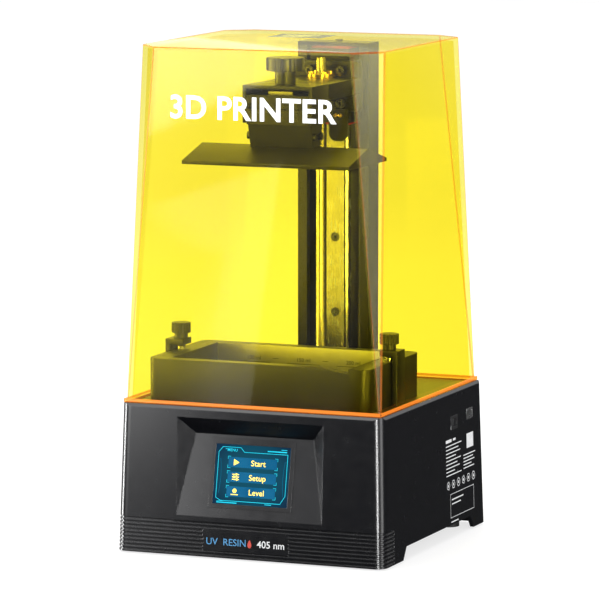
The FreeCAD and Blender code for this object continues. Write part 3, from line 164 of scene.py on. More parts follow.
def coat(material, *nodes):
    """Gives these CAD nodes this material in place of their plain one."""
    for name in nodes:
        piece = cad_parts[name]
        while len(piece.material_slots) < 1:
            piece.data.materials.append(None)
        for slot in piece.material_slots:
            slot.material = material


def moulded(name, dark, light, rough, grain, depth, radius):
    """Moulded plastic: two close shades in soft clouds, a spark-eroded grain of this
    many cells to a metre and this depth, and edges that catch the light."""
    made = Finish(name)
    cloud = made.noise(60, 3)
    grit = made.noise(grain, 2)
    return made.done(made.shade(
        Base_Color=made.mix(cloud, dark, light),
        Roughness=rough + 0.12 * made.noise(140, 4),
        Normal=made.bump(grit, depth, made.rounded(radius))))


casing = moulded("satin_black", (0.002, 0.0022, 0.0036), (0.0034, 0.0038, 0.0058), 0.19, 2600, 3e-6, 0.0007)
coat(casing, "base_casing")
base_low, base_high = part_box("base_casing")


# The base cover is a folded steel plate with a black powder coat. Four rubber feet and
# four zinc screws with pan heads are on it.
def powder_coated(name, dark, light, rough, grain, depth, radius):
    """Baked powder over metal: rounded orange-peel bumps and small dark pits."""
    made = Finish(name)
    peel = made.node("ShaderNodeTexVoronoi", {"feature": "SMOOTH_F1"},
                     {"Vector": made.place, "Scale": grain}, "Distance")
    pits = made.spread(made.noise(grain * 0.6, 1), 0.62, 0.7)
    return made.done(made.shade(
        Base_Color=made.mix(made.noise(45, 4), dark, light),
        Roughness=rough + 0.15 * pits + 0.08 * made.noise(200, 3),
        Normal=made.bump(peel + 0.3 * made.noise(grain * 2, 2), depth, made.rounded(radius))))


def milled_steel(name, dark, light, rough, along, radius):
    """Ground or plated metal: fine scratches drawn out by the three scales in along."""
    made = Finish(name)
    lines = made.noise(1, 5, made.stretched(*along))
    smear = made.noise(90, 4)
    return made.done(made.shade(
        Base_Color=made.mix(smear, dark, light),
        Metallic=1.0,
        Roughness=rough + 0.22 * lines * smear,
        Normal=made.bump(lines, 2e-6, made.rounded(radius))))


rubber = moulded("feet_rubber", (0.011, 0.011, 0.011), (0.022, 0.021, 0.02), 0.66, 1500, 3e-5, 0.0005)
coated_steel = powder_coated(
    "black_powder_coat", (0.011, 0.011, 0.012), (0.02, 0.02, 0.021), 0.34, 900, 2e-5, 0.0005)
zinc = milled_steel("bright_zinc", (0.5, 0.5, 0.48), (0.66, 0.67, 0.68), 0.22, (900, 900, 250), 0.0002)
coat(coated_steel, "base_cover")
coat(rubber, "rubber_feet")
coat(zinc, "cover_screws")


# The deck is a plate of black coated steel let into the top of the casing. The exposure
# screen lies in it, a monochrome panel behind polished glass with a dark printed border.
def screen_glass():
    """Glass over a dark panel: a faint grid of cells inside a printed border."""
    made = Finish("exposure_glass")
    low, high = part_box("mask_lcd")
    x, y = made.along(0), made.along(1)
    cells = made.node("ShaderNodeTexChecker", {}, {"Vector": made.place, "Scale": 1 / 0.0008}, "Fac")
    inside = made.spread(x, low.x + 0.004, low.x + 0.0044)
    inside = inside * (1 - made.spread(x, high.x - 0.0044, high.x - 0.004))
    inside = inside * made.spread(y, low.y + 0.004, low.y + 0.0044)
    inside = inside * (1 - made.spread(y, high.y - 0.0044, high.y - 0.004))
    panel = made.mix(cells, (0.012, 0.016, 0.022), (0.016, 0.021, 0.028))
    return made.done(made.shade(
        Base_Color=made.mix(inside, (0.004, 0.004, 0.005), panel),
        Roughness=0.05 + 0.03 * made.noise(500, 3),
        Coat_Weight=0.6,
        Normal=made.rounded(0.0004)))


deck_coat = powder_coated(
    "deck_powder_coat", (0.014, 0.014, 0.015), (0.024, 0.024, 0.025), 0.3, 1100, 1.5e-5, 0.0006)
coat(deck_coat, "top_plate")
coat(screen_glass(), "mask_lcd")


# The light engine hangs under the deck: a folded bright reflector, a green board with a
# field of ultraviolet lamps, a finned aluminium sink and a fan that blows out at the back.
def circuit_board(name):
    """Solder mask over copper: straight tracks from a stretched checker and tinned pads."""
    made = Finish(name)
    blocks = made.node("ShaderNodeTexBrick", {"offset": 0.5}, {
        "Vector": made.place, "Scale": 90, "Mortar Size": 0.035, "Mortar Smooth": 0.3}, "Fac")
    pads = 1 - made.spread(made.node("ShaderNodeTexVoronoi", {}, {
        "Vector": made.place, "Scale": 260, "Randomness": 0.55}, "Distance"), 0.16, 0.2)
    tracks = made.mix(blocks, (0.008, 0.075, 0.03), (0.02, 0.16, 0.06))
    return made.done(made.shade(
        Base_Color=made.mix(pads, tracks, (0.55, 0.5, 0.36)),
        Metallic=0.8 * pads,
        Roughness=0.3 + 0.1 * made.noise(300, 3),
        Normal=made.bump(blocks + pads, 3e-5, made.rounded(0.0002))))


def lamp_resin():
    """Clear yellow lamp domes over a pale die."""
    made = Finish("lamp_resin")
    glow = made.noise(700, 2)
    return made.done(made.shade(
        Base_Color=made.mix(glow, (0.75, 0.66, 0.25), (0.95, 0.9, 0.6)),
        Roughness=0.12 + 0.1 * glow,
        Coat_Weight=0.5,
        Normal=made.rounded(0.0003)))


board = circuit_board("green_board")
bright_sheet = milled_steel(
    "bright_sheet", (0.68, 0.69, 0.7), (0.85, 0.85, 0.86), 0.1, (300, 300, 2600), 0.0003)
blasted = milled_steel(
    "blasted_aluminium", (0.5, 0.51, 0.53), (0.68, 0.69, 0.71), 0.3, (1800, 1800, 1800), 0.0003)
fan_plastic = moulded("fan_plastic", (0.012, 0.012, 0.013), (0.02, 0.02, 0.021), 0.34, 1800, 1.2e-5, 0.0004)
coat(bright_sheet, "light_shroud")
coat(board, "uv_board", "mainboard", "screen_board")
coat(lamp_resin(), "uv_leds")
coat(blasted, "heat_sink")
coat(fan_plastic, "fan_frame", "fan_rotor")


# The control board stands on brass-plated posts at the back. The power inlet, the memory
# stick socket and the rocker switch sit in pockets in the casing's walls.
def chip_body():
    """Black moulded chips and sockets with paler, rougher tops of ground epoxy."""
    made = Finish("chip_epoxy")
    speck = made.spread(made.noise(1800, 2), 0.5, 0.7)
    return made.done(made.shade(
        Base_Color=made.mix(speck, (0.015, 0.015, 0.017), (0.05, 0.05, 0.055)),
        Roughness=0.45 + 0.2 * speck,
        Normal=made.bump(speck, 1e-5, made.rounded(0.0002))))


plug_plastic = moulded(
    "socket_plastic", (0.012, 0.012, 0.013), (0.018, 0.018, 0.02), 0.24, 2200, 6e-6, 0.0003)
coat(zinc, "board_posts", "usb_socket")
coat(chip_body(), "board_parts")
coat(plug_plastic, "power_jack", "switch_frame", "power_rocker")


# The touch screen lies in a sloping recess in the front. A black bezel holds the glass,
# and the lit panel shows a plain menu of three rows in a cut-cornered frame.
SCREEN_SLOPE = math.radians(11.34)
SCREEN_FOOT = Vector((0, -111.684, 32))


def on_screen(u, v, lift):
    """The place, in metres, of a point u across and v up the sloping panel and lift out of
    it, in millimetres: foot + (u, v sin a - lift cos a, v cos a + lift sin a)."""
    u, v, lift = np.broadcast_arrays(np.asarray(u, float), np.asarray(v, float), float(lift))
    y = SCREEN_FOOT.y + v * math.sin(SCREEN_SLOPE) - lift * math.cos(SCREEN_SLOPE)
    z = SCREEN_FOOT.z + v * math.cos(SCREEN_SLOPE) + lift * math.sin(SCREEN_SLOPE)
    return np.stack([u, y, z], -1) * MM


def add_piece(name, points, faces, material, body, slot):
    """A mesh of these points and faces as a piece that rides on a body."""
    mesh = bpy.data.meshes.new(name)
    mesh.from_pydata(np.reshape(points, (-1, 3)).tolist(), [], faces)
    mesh.materials.append(material)
    mesh.validate()
    piece = bpy.data.objects.new(name, mesh)
    bpy.context.scene.collection.objects.link(piece)
    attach(piece, body)
    return piece


def add_prints(name, outlines, place, lift, material, body, slot):
    """Flat printed marks as one piece: each outline is a ring of (u, v) points, anti-clockwise
    as seen, which place(u, v, lift) puts on the surface."""
    rings = [place(*np.asarray(outline, float).T, lift) for outline in outlines]
    starts = np.cumsum([0] + [len(ring) for ring in rings])
    faces = [list(range(a, b)) for a, b in zip(starts[:-1], starts[1:])]
    return add_piece(name, np.concatenate(rings), faces, material, body, slot)


def bar(left, right, low, high):
    """The outline of an upright rectangle."""
    return [(left, low), (right, low), (right, high), (left, high)]


def line(path, wide):
    """A line of this width along a path, as one four-sided outline for each stretch. Its
    sides are the path moved half a width along the mitred normal at each point."""
    path = np.asarray(path, float)
    run = np.diff(path, axis=0)
    run = run / np.linalg.norm(run, axis=1)[:, None]
    side = np.stack([-run[:, 1], run[:, 0]], -1)
    corner = np.concatenate([side[:1], side[:-1] + side[1:], side[-1:]])
    corner = corner / (corner * np.concatenate([side[:1], side])).sum(1)[:, None]
    left, right = path + corner * wide / 2, path - corner * wide / 2
    return [[right[i], right[i + 1], left[i + 1], left[i]] for i in range(len(run))]


def ring(centre, radius, count=24, start=0.0):
    """A regular outline of count points on a circle."""
    turn = start + np.linspace(0, 2 * np.pi, count, endpoint=False)
    return np.stack([centre[0] + radius * np.cos(turn), centre[1] + radius * np.sin(turn)], -1)


def add_words(name, words, tall, centre, place, lift, material, body, slot, heavy=0.0, apart=1.0):
    """Plain lettering with capitals this tall, in the middle of centre, set on a surface
    by place(u, v, lift) like the other prints."""
    curve = bpy.data.curves.new(name, "FONT")
    curve.body = words
    curve.align_x = "CENTER"
    curve.size = tall / 0.69
    curve.offset = heavy * tall
    curve.space_character = apart
    curve.resolution_u = 4
    helper = bpy.data.objects.new(name, curve)
    bpy.context.scene.collection.objects.link(helper)
    bpy.context.view_layer.update()
    flat = bpy.data.meshes.new_from_object(helper.evaluated_get(bpy.context.evaluated_depsgraph_get()))
    flat_points = np.zeros(len(flat.vertices) * 3)
    flat.vertices.foreach_get("co", flat_points)
    flat_points = flat_points.reshape(-1, 3)
    faces = [list(face.vertices) for face in flat.polygons]
    bpy.data.objects.remove(helper)
    points = place(flat_points[:, 0] + centre[0], flat_points[:, 1] + centre[1] - tall / 2, lift)
    return add_piece(name, points, faces, material, body, slot)


def lit(name, low_colour, high_colour, scale, strength):
    """A part of the display that gives light, with two close colours in soft patches."""
    made = Finish(name)
    colour = made.mix(made.noise(scale, 2), low_colour, high_colour)
    return made.done(made.shade(
        Base_Color=colour, Emission_Color=colour, Emission_Strength=strength,
        Specular_IOR_Level=0.06, Roughness=0.25))


def display_glow():
    """The lit background: navy at the rim, teal in the middle, with fine scan lines."""
    made = Finish("display_glow")
    x, z = made.along(0), made.along(2)
    across = x / 0.034
    up = (z - 0.0655) / 0.03
    far = made.spread(across * across + up * up, 0.0, 1.5)
    lines = made.node("ShaderNodeTexWave", {"bands_direction": "Z"}, {
        "Vector": made.place, "Scale": 1100.0, "Distortion": 0.0}, "Fac")
    colour = made.mix(far, (0.004, 0.07, 0.115), (0.0015, 0.012, 0.045))
    colour = made.mix(0.12 * lines, colour, (0.0, 0.16, 0.22))
    return made.done(made.shade(
        Base_Color=(0.004, 0.006, 0.01, 1),
        Emission_Color=colour,
        Emission_Strength=1.0,
        Specular_IOR_Level=0.06,
        Roughness=0.07 + 0.03 * made.noise(200, 2)))


bezel_plastic = moulded(
    "bezel_plastic", (0.008, 0.008, 0.009), (0.013, 0.013, 0.015), 0.14, 2000, 3e-6, 0.0004)
coat(bezel_plastic, "screen_bezel")
coat(display_glow(), "touch_screen")
cyan = lit("menu_cyan", (0.0, 0.3, 0.42), (0.02, 0.5, 0.62), 90, 0.9)
faint_cyan = lit("menu_faint", (0.0, 0.07, 0.13), (0.0, 0.11, 0.19), 60, 0.8)
row_blue = lit("menu_row", (0.0, 0.045, 0.11), (0.004, 0.085, 0.17), 60, 0.9)
amber = lit("menu_amber", (0.85, 0.62, 0.05), (1.0, 0.82, 0.2), 200, 0.9)
BODY, SLOT = "base", "touch_glass"

menu_frame = [(-28.6, 15.5), (-28.6, 50.6), (-25.4, 54.6), (-10.6, 54.6), (-7.4, 51.2), (22.0, 51.2),
              (28.4, 51.2), (28.4, 19.6), (24.6, 13.4), (-24.4, 13.4), (-28.6, 15.5)]
add_prints("menu_frame", line(menu_frame, 0.42), on_screen, 0.02, cyan, BODY, SLOT)
side_curve = np.linspace(-1, 1, 15)
left_side = np.stack([-25.6 - 1.1 * side_curve**2, 32.4 + 13.4 * side_curve], -1)
right_side = left_side * (-1, 1)
add_prints(
    "menu_sides", line(left_side, 0.3) + line(right_side, 0.3), on_screen, 0.02, faint_cyan, BODY, SLOT)
ticks = [bar(11.5, 27.6, 52.6, 53.5), bar(22.8, 27.6, 54.4, 54.9), bar(-27.8, -11.0, 11.6, 12.4),
         bar(-27.8, -22.8, 12.9, 13.2), bar(12.0, 17.5, 12.0, 12.5), bar(-23.2, -19.6, 52.9, 53.3)]
add_prints("menu_ticks", ticks, on_screen, 0.02, cyan, BODY, SLOT)
add_words("menu_title", "MENU", 2.1, (-17.4, 52.5), on_screen, 0.02, cyan, BODY, SLOT, 0.02)

ROWS = (("Start", 43.2), ("Setup", 32.0), ("Level", 20.8))
corner = [(-20.5, 2.2), (-20.5, 4.4), (-18.2, 4.4)]
rows, corners = [], []
for label, middle in ROWS:
    rows.append(bar(-20.0, 20.0, middle - 3.9, middle + 3.9))
    for across in (-1, 1):
        for upward in (-1, 1):
            corners += line([(u * across, middle + v * upward) for u, v in corner], 0.32)
    add_words(f"menu_{label.lower()}", label, 4.3, (4.6, middle), on_screen, 0.03, amber, BODY, SLOT, 0.012)
add_prints("menu_rows", rows, on_screen, 0.01, row_blue, BODY, SLOT)
add_prints("menu_corners", corners, on_screen, 0.02, cyan, BODY, SLOT)
start, setup, level = (middle for label, middle in ROWS)
icons = [[(-15.6, start - 2.5), (-11.0, start), (-15.6, start + 2.5)]]
icons += [bar(-16.2, -10.6, setup + d - 0.35, setup + d + 0.35) for d in (-1.9, 0, 1.9)]
icons += [ring((u, setup + d), 0.95, 12) for u, d in ((-12.2, -1.9), (-14.8, 0), (-12.8, 1.9))]
icons += line([(-16.4, level - 2.3), (-10.4, level - 2.3)], 0.7) + [ring((-13.4, level + 0.6), 1.7, 20)]
add_prints("menu_icons", icons, on_screen, 0.03, amber, BODY, SLOT)


# The screen's ribbon runs from the panel to the control board inside the casing: flat
# conductors under a pale film.
def flat_cable():
    """Side-by-side conductors seen through film, as bands across X."""
    made = Finish("flat_cable")
    bands = made.node("ShaderNodeTexWave", {"bands_direction": "X"}, {
        "Vector": made.place, "Scale": 160.0, "Distortion": 0.0}, "Fac")
    return made.done(made.shade(
        Base_Color=made.mix(bands, (0.62, 0.6, 0.52), (0.8, 0.79, 0.74)),
        Roughness=0.3 + 0.1 * bands,
        Normal=made.bump(bands, 4e-5)))


coat(flat_cable(), "screen_ribbon")


# A small badge is printed on the smooth patch in the front grooves: generic words in blue
# and white ink, and a plain red drop between them.
FRONT_FACE = base_low.y


def ink(name, colour, strength):
    """Screen-printed ink: solid colour with slight thin spots and a matt surface, and a painted glow of this
    strength.
    """
    made = Finish(name)
    thin = made.spread(made.noise(900, 3), 0.35, 0.6)
    pale = tuple(c * 0.86 for c in colour)
    return made.done(made.shade(
        Base_Color=made.mix(thin, pale, colour),
        Roughness=0.42 + 0.1 * thin,
        Emission_Color=(*colour, 1),
        Emission_Strength=strength))


def on_front(u, v, lift):
    """The place, in metres, of a point u across and at height v on the casing's front, whose
    face leans back: y = foot + (v - 1) tan 1.877 degrees - lift."""
    u, v, lift = np.broadcast_arrays(np.asarray(u, float), np.asarray(v, float), float(lift))
    y = FRONT_FACE / MM + (v - 1) * math.tan(math.radians(1.877)) - lift
    return np.stack([u, y, v], -1) * MM


white_ink = ink("white_ink", (0.85, 0.86, 0.87), 0.0)
blue_ink = ink("blue_ink", (0.06, 0.3, 0.6), 0.0)
red_ink = ink("red_ink", (0.62, 0.05, 0.03), 0.0)
add_words("badge_words", "UV  RESIN", 5.2, (-18.5, 13.6), on_front, 0.05, blue_ink, BODY, "casing", 0.004)
add_words("badge_size", "405 nm", 5.2, (18.5, 13.6), on_front, 0.05, white_ink, BODY, "casing", 0.012)
turn = np.linspace(0, 2 * np.pi, 25)
drop = np.stack([2.1 * np.sin(turn) * np.sin(turn / 2), 13.3 + 3.2 * np.cos(turn)], -1)[:-1][::-1]
add_prints("badge_drop", [drop + (0.9, 0)], on_front, 0.05, red_ink, BODY, "casing")


# The rating label is printed on the right side of the casing. It has lines of small
# print as plain bars, a white block, a row of plain marks and an outlined box.
def on_side(u, v, lift):
    """The place, in metres, of a point at depth u and height v on the casing's right side,
    whose face leans in: x = foot - (v - 1) tan 1.52 degrees + lift."""
    u, v, lift = np.broadcast_arrays(np.asarray(u, float), np.asarray(v, float), float(lift))
    x = base_high.x / MM - (v - 1) * math.tan(math.radians(1.52)) + lift
    return np.stack([x, u, v], -1) * MM


label_bars = []
for row, last in enumerate((62, 55, 59, 49, 60, 52, 57, 46, 61)):
    label_bars.append(bar(27, last, 73.2 - 2.9 * row, 74.0 - 2.9 * row))
label_bars += [bar(27, 40, 76.2, 78.6), bar(43, 49, 76.6, 78.4)]
label_bars.append(bar(74, 89, 66.0, 77.5))
for row, wide in enumerate((27, 22, 25, 18, 24)):
    label_bars.append(bar(66, 66 + wide, 61.0 - 2.6 * row, 61.8 - 2.6 * row))
add_prints("label_lines", label_bars, on_side, 0.05, white_ink, BODY, "casing")
marks = []
for n in range(6):
    centre = (31 + 11.4 * n, 42.4)
    marks += line(ring(centre, 3.3, 5 + n % 3)[np.r_[0:5 + n % 3, 0]], 0.6)
    marks.append(bar(centre[0] - 1.1, centre[0] + 1.1, centre[1] - 1.1, centre[1] + 1.1))
add_prints("label_marks", marks, on_side, 0.05, white_ink, BODY, "casing")
box_path = [(35, 16.5), (88, 16.5), (88, 35), (35, 35), (35, 16.5)]
boxed = line(box_path, 0.4) + [bar(38, 64, 30.0, 31.0), bar(38, 58, 26.6, 27.5), bar(36, 52, 12.5, 13.4)]
add_prints("label_box", boxed, on_side, 0.05, white_ink, BODY, "casing")
switch_mark = [bar(39.6, 40.4, 92.2, 94.6)] + line(ring((40.0, 87.2), 1.3, 16)[np.r_[0:16, 0]], 0.45)
add_prints("switch_marks", switch_mark, on_side, 0.05, white_ink, BODY, "casing")


# The lift motor stands in the casing on a bent bracket of plated steel. Its shaft turns
# the lead screw through an aluminium coupler with two clamp screws.
motor_coat = powder_coated("motor_body", (0.012, 0.012, 0.013), (0.03, 0.03, 0.032), 0.3, 1400, 1e-5, 0.0004)
ground = milled_steel("ground_steel", (0.36, 0.35, 0.33), (0.5, 0.49, 0.47), 0.16, (1600, 1600, 30), 0.0003)
coat(motor_coat, "z_motor")
coat(zinc, "motor_mount")
coat(ground, "motor_shaft")
coat(blasted, "coupler")


# The lead screw is rolled steel, 8 mm across, with four starts and a lead of 8 mm, so its
# ridges stand 2 mm apart and each one climbs 8 mm in a turn.
def lead_screw_mesh():
    """r(t, z) = R - d * w((z - lead t / 2 pi) / pitch), where w is a clipped triangle wave that
    makes flat crests and flat roots, and r shrinks to the core at the chamfered ends."""
    low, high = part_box("lead_screw")
    centre, radius = (low + high) / 2, (high.x - low.x) / 2
    lead, pitch, depth = 0.008, 0.002, 0.0009
    turn = np.linspace(0, 2 * np.pi, 33)[:-1]
    rise = np.linspace(low.z, high.z, 1161)
    t, z = np.meshgrid(turn, rise)
    phase = (z - lead * t / (2 * np.pi)) / pitch
    wave = np.clip(2.2 * np.abs(2 * (phase % 1) - 1) - 0.6, 0, 1)
    end = np.clip(np.minimum(z - low.z, high.z - z) / 0.0012, 0, 1)
    r = radius - depth * (1 - end * (1 - wave))
    r[[0, -1]] = radius - depth - 0.0004
    points = np.stack([centre.x + r * np.cos(t), centre.y + r * np.sin(t), z], -1)
    around, up = len(turn), len(rise)
    i, j = np.meshgrid(np.arange(around), np.arange(up - 1))
    k = (i + 1) % around
    faces = np.stack([j * around + i, j * around + k, (j + 1) * around + k, (j + 1) * around + i], -1)
    faces = faces.reshape(-1, 4).tolist()
    faces += [list(range(around))[::-1], list(range((up - 1) * around, up * around))]
    return points, faces


rolled = milled_steel("rolled_steel", (0.5, 0.47, 0.4), (0.7, 0.66, 0.58), 0.14, (500, 500, 1500), 0.0001)
screw = add_piece("threaded_screw", *lead_screw_mesh(), rolled, "lead_screw", "ground_steel")
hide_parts("lead_screw")


# The column is a folded steel post bolted to the deck, with a cap on top. The rail on its
# front is ground steel, held by black socket screws.
post_coat = powder_coated(
    "post_powder_coat", (0.004, 0.004, 0.004), (0.008, 0.008, 0.008), 0.3, 1000, 8e-6, 0.0006)
black_oxide = milled_steel(
    "black_oxide", (0.05, 0.05, 0.052), (0.12, 0.12, 0.12), 0.22, (1500, 1500, 300), 0.0003)
rail_steel = milled_steel("rail_steel", (0.3, 0.29, 0.27), (0.46, 0.45, 0.42), 0.2, (1400, 1400, 22), 0.0004)
coat(post_coat, "column", "column_cap")
coat(rail_steel, "rail")
coat(black_oxide, "cap_screw", "rail_screws")
coat(plug_plastic, "limit_sensor")


# The carriage runs on the rail. It is ground steel between two moulded end caps, and a red
# wiper seals each end.
def wiper_rubber():
    """Cast red rubber: a dull skin with darker scuffs where it rubs."""
    made = Finish("red_wiper")
    scuff = made.spread(made.noise(600, 3), 0.45, 0.65)
    return made.done(made.shade(
        Base_Color=made.mix(scuff, (0.75, 0.02, 0.012), (0.45, 0.012, 0.01)),
        Roughness=0.45 + 0.2 * scuff,
        Normal=made.bump(made.noise(2400, 2), 8e-6)))


carriage_steel = milled_steel(
    "carriage_steel", (0.11, 0.11, 0.1), (0.2, 0.2, 0.19), 0.26, (1400, 60, 1400), 0.0005)
coat(carriage_steel, "carriage_block")
end_cap_plastic = moulded(
    "end_cap_plastic", (0.012, 0.012, 0.012), (0.02, 0.02, 0.02), 0.4, 2200, 8e-6, 0.0004)
coat(end_cap_plastic, "carriage_ends")
coat(wiper_rubber(), "carriage_seals")


# The lift arm is machined from aluminium and anodised black. A brass nut with a flange
# carries it on the lead screw, and its small screws are plated gold.
def anodised(name, dark, light, rough, along, radius):
    """Machined and anodised aluminium: tool lines drawn out by the three scales in along,
    under a thin dark skin that lets a little metal shine through."""
    made = Finish(name)
    lines = made.noise(1, 4, made.stretched(*along))
    return made.done(made.shade(
        Base_Color=made.mix(made.noise(70, 4), dark, light),
        Metallic=0.55,
        Roughness=rough + 0.16 * lines,
        Normal=made.bump(lines, 4e-6, made.rounded(radius))))


def refined(node, finishes, body, width, segments=3, flat=0.5):
    """A copy of a CAD node to stand in its place: its loose triangles are merged, its flat
    faces made whole where they bend less than flat degrees, and its sharp edges rounded to
    this width by a Bevel modifier."""
    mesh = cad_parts[node].data.copy()
    work = bmesh.new()
    work.from_mesh(mesh)
    bmesh.ops.remove_doubles(work, verts=work.verts, dist=2e-6)
    bmesh.ops.dissolve_limit(work, angle_limit=math.radians(flat), verts=work.verts, edges=work.edges)
    for face in work.faces:
        face.smooth = True
        face.material_index = 0
    work.to_mesh(mesh)
    work.free()
    mesh.materials.clear()
    for finish in finishes:
        mesh.materials.append(finish)
    piece = bpy.data.objects.new(f"{node}_body", mesh)
    bpy.context.scene.collection.objects.link(piece)
    edges = piece.modifiers.new("edges", "BEVEL")
    edges.width = width
    edges.segments = segments
    edges.limit_method = "ANGLE"
    edges.angle_limit = math.radians(28)
    edges.use_clamp_overlap = True
    edges.harden_normals = True
    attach(piece, body)
    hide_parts(node)
    return piece


black_anodised = anodised(
    "black_anodised", (0.022, 0.022, 0.02), (0.04, 0.04, 0.037), 0.3, (1200, 1200, 120), 0.0004)
turned_brass = milled_steel(
    "turned_brass", (0.62, 0.4, 0.11), (0.85, 0.62, 0.24), 0.16, (200, 200, 2400), 0.0003)
refined("lift_arm", [black_anodised], "carriage", 0.0006, 2)
coat(black_oxide, "arm_screws")
coat(turned_brass, "screw_nut", "nut_screws", "flag_screws")
coat(coated_steel, "limit_flag")


# The clamp housing is a box milled from aluminium at the end of the arm. A fluted plastic
# knob turns the screw that presses on the plate's head.
knob_plastic = moulded("knob_plastic", (0.013, 0.013, 0.013), (0.022, 0.022, 0.021), 0.32, 1900, 1e-5, 0.0005)
refined("clamp_housing", [black_anodised], "carriage", 0.0005, 2)
coat(ground, "clamp_pad")
coat(knob_plastic, "clamp_knob")


# The build plate is aluminium, milled to a shallow roof on top and anodised black. Its
# underside is ground across so that prints stick. Four screws hold its levelling head.
plate_finish = anodised(
    "plate_anodised", (0.028, 0.027, 0.025), (0.043, 0.042, 0.038), 0.4, (60, 1500, 1500), 0.0004)
refined("build_plate", [plate_finish], "platform", 0.0003, 2, 0.2)
coat(plate_finish, "plate_head")
coat(black_oxide, "level_screws")


# The vat is milled from one block of aluminium, anodised black, with a pouring lip at the
# front. A frame with screws holds the clear release film under it.
def clear_film():
    """Clear film: mostly see-through, with faint haze and scuffs from the scraper."""
    made = Finish("release_film")
    scuff = made.spread(made.noise(120, 5, made.stretched(1, 0.12, 1)), 0.55, 0.75)
    skin = made.shade(
        Base_Color=(0.8, 0.84, 0.85, 1),
        Roughness=0.12 + 0.25 * scuff)
    clear = made.node("ShaderNodeBsdfTransparent", {}, {"Color": (0.93, 0.95, 0.95, 1)})
    return made.done(made.node("ShaderNodeMixShader", {}, {0: 0.12 + 0.2 * scuff, 1: clear, 2: skin}))


vat_finish = anodised(
    "vat_anodised", (0.026, 0.026, 0.021), (0.042, 0.041, 0.034), 0.34, (90, 90, 1400), 0.0006)
bare_finish = milled_steel("vat_milled", (0.3, 0.29, 0.24), (0.42, 0.41, 0.34), 0.34, (60, 60, 1400), 0.0004)
vat = refined("vat", [vat_finish, bare_finish], "vat", 0.0006, 3)
VAT_BACK_WALL = 11
vat_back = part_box("vat")[1].y / MM - VAT_BACK_WALL
for face in vat.data.polygons:
    if face.normal.y < -0.9 and abs(face.center.y / MM - vat_back) < 0.1:
        face.material_index = 1
coat(vat_finish, "film_frame")
coat(clear_film(), "release_film")
coat(zinc, "film_screws")


def in_vat(u, v, lift):
    """The place, in metres, of a point u across and at height v on the vat's inner back
    wall, which is upright, lift in front of it."""
    u, v, lift = np.broadcast_arrays(np.asarray(u, float), np.asarray(v, float), float(lift))
    return np.stack([u, vat_back - lift, v], -1) * MM


faded_ink = ink("faded_ink", (0.035, 0.035, 0.03), 0.0)
levels = []
for n, words in enumerate(("100 ml", "150 ml", "200 ml")):
    u = -44 + 42 * n
    add_words(
        f"vat_level_{n + 1}", words, 3.0, (u, 139.5), in_vat, 0.06, faded_ink, "vat", "black_aluminium", 0.01)
    levels += [bar(u - 14, u + 14, 136.0, 136.4), bar(u + 16, u + 21, 139.3, 139.7)]
add_prints("vat_levels", levels, in_vat, 0.06, faded_ink, "vat", "black_aluminium")


# Two clamps hold the vat down: a hooked bracket milled from aluminium on each side, and a
# fluted thumb screw that presses a steel pad on the vat's rim.
for side in ("left", "right"):
    refined(f"{side}_hook", [black_anodised], "base", 0.0006, 2)
    coat(ground, f"{side}_pad")
    coat(knob_plastic, f"{side}_thumb")


# The hood is one shell of clear yellow acrylic that blocks ultraviolet light, made of flat
# panels with cut corners. Its polished edges and its flange gather the light and glow orange,
# and that glow is painted: they give out light of their own.
def hood_acrylic(name, tint, sheen, gloss):
    """Clear coloured sheet: light that passes takes the tint once for each face, and the
    polished skin mirrors a little, most of it at a low angle, and more near the cast top as a
    painted sheen."""
    made = Finish(name)
    skin = made.shade(
        Base_Color=made.mix(made.noise(30, 2), sheen, tuple(0.93 * c for c in sheen)),
        Metallic=1.0,
        Roughness=gloss + 0.04 * made.noise(400, 2))
    clear = made.node("ShaderNodeBsdfTransparent", {}, {"Color": (*tint, 1)})
    facing = made.node("ShaderNodeLayerWeight", {}, {"Blend": 0.5}, "Facing")
    # Painted sheen: the skin's share rises near the top of the hood.
    factor = 0.014 + 0.3 * facing**5 + 0.014 * made.spread(made.along(2), 0.3, 0.392)
    return made.done(made.node("ShaderNodeMixShader", {}, {0: factor, 1: clear, 2: skin}))


def hood_glow(name, low_colour, top_colour, tint, clear_share, strength):
    """An edge of the same sheet, with a painted glow that stands in for the light gathered
    inside it. The painted glow is redder round the top, where the light has come further
    through the sheet."""
    made = Finish(name)
    patch = made.noise(25, 3)
    warm = made.mix(made.spread(made.along(2), 0.36, 0.389), low_colour, top_colour)
    edge = made.shade(
        Base_Color=warm,
        Emission_Color=warm,
        Emission_Strength=strength,
        Roughness=0.35 + 0.05 * patch)
    clear = made.node("ShaderNodeBsdfTransparent", {}, {"Color": (*tint, 1)})
    return made.done(made.node("ShaderNodeMixShader", {}, {0: clear_share + 0.1 * patch, 1: clear, 2: edge}))


# The edge and flange finishes give out a painted orange glow.
acrylic = hood_acrylic("yellow_acrylic", (0.998, 0.952, 0.43), (1.0, 0.98, 0.9), 0.09)
edge_glow = hood_glow("acrylic_edge", (1.0, 0.27, 0.03), (0.85, 0.07, 0.012), (0.97, 0.75, 0.3), 0.2, 0.4)
flange_glow = hood_glow("acrylic_flange", (1.0, 0.25, 0.01), (1.0, 0.25, 0.01), (0.97, 0.75, 0.2), 0.6, 0.5)
hood = refined("hood", [acrylic, edge_glow, flange_glow], "hood", 0.0014, 3, 0.3)
hood_low, hood_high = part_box("hood")
hood_middle = (hood_low + hood_high) / 2
work = bmesh.new()
work.from_mesh(hood.data)
weights = work.edges.layers.float.new("bevel_weight_edge")
SHARP = math.radians(20)
FLANGE_THICK = 0.0032
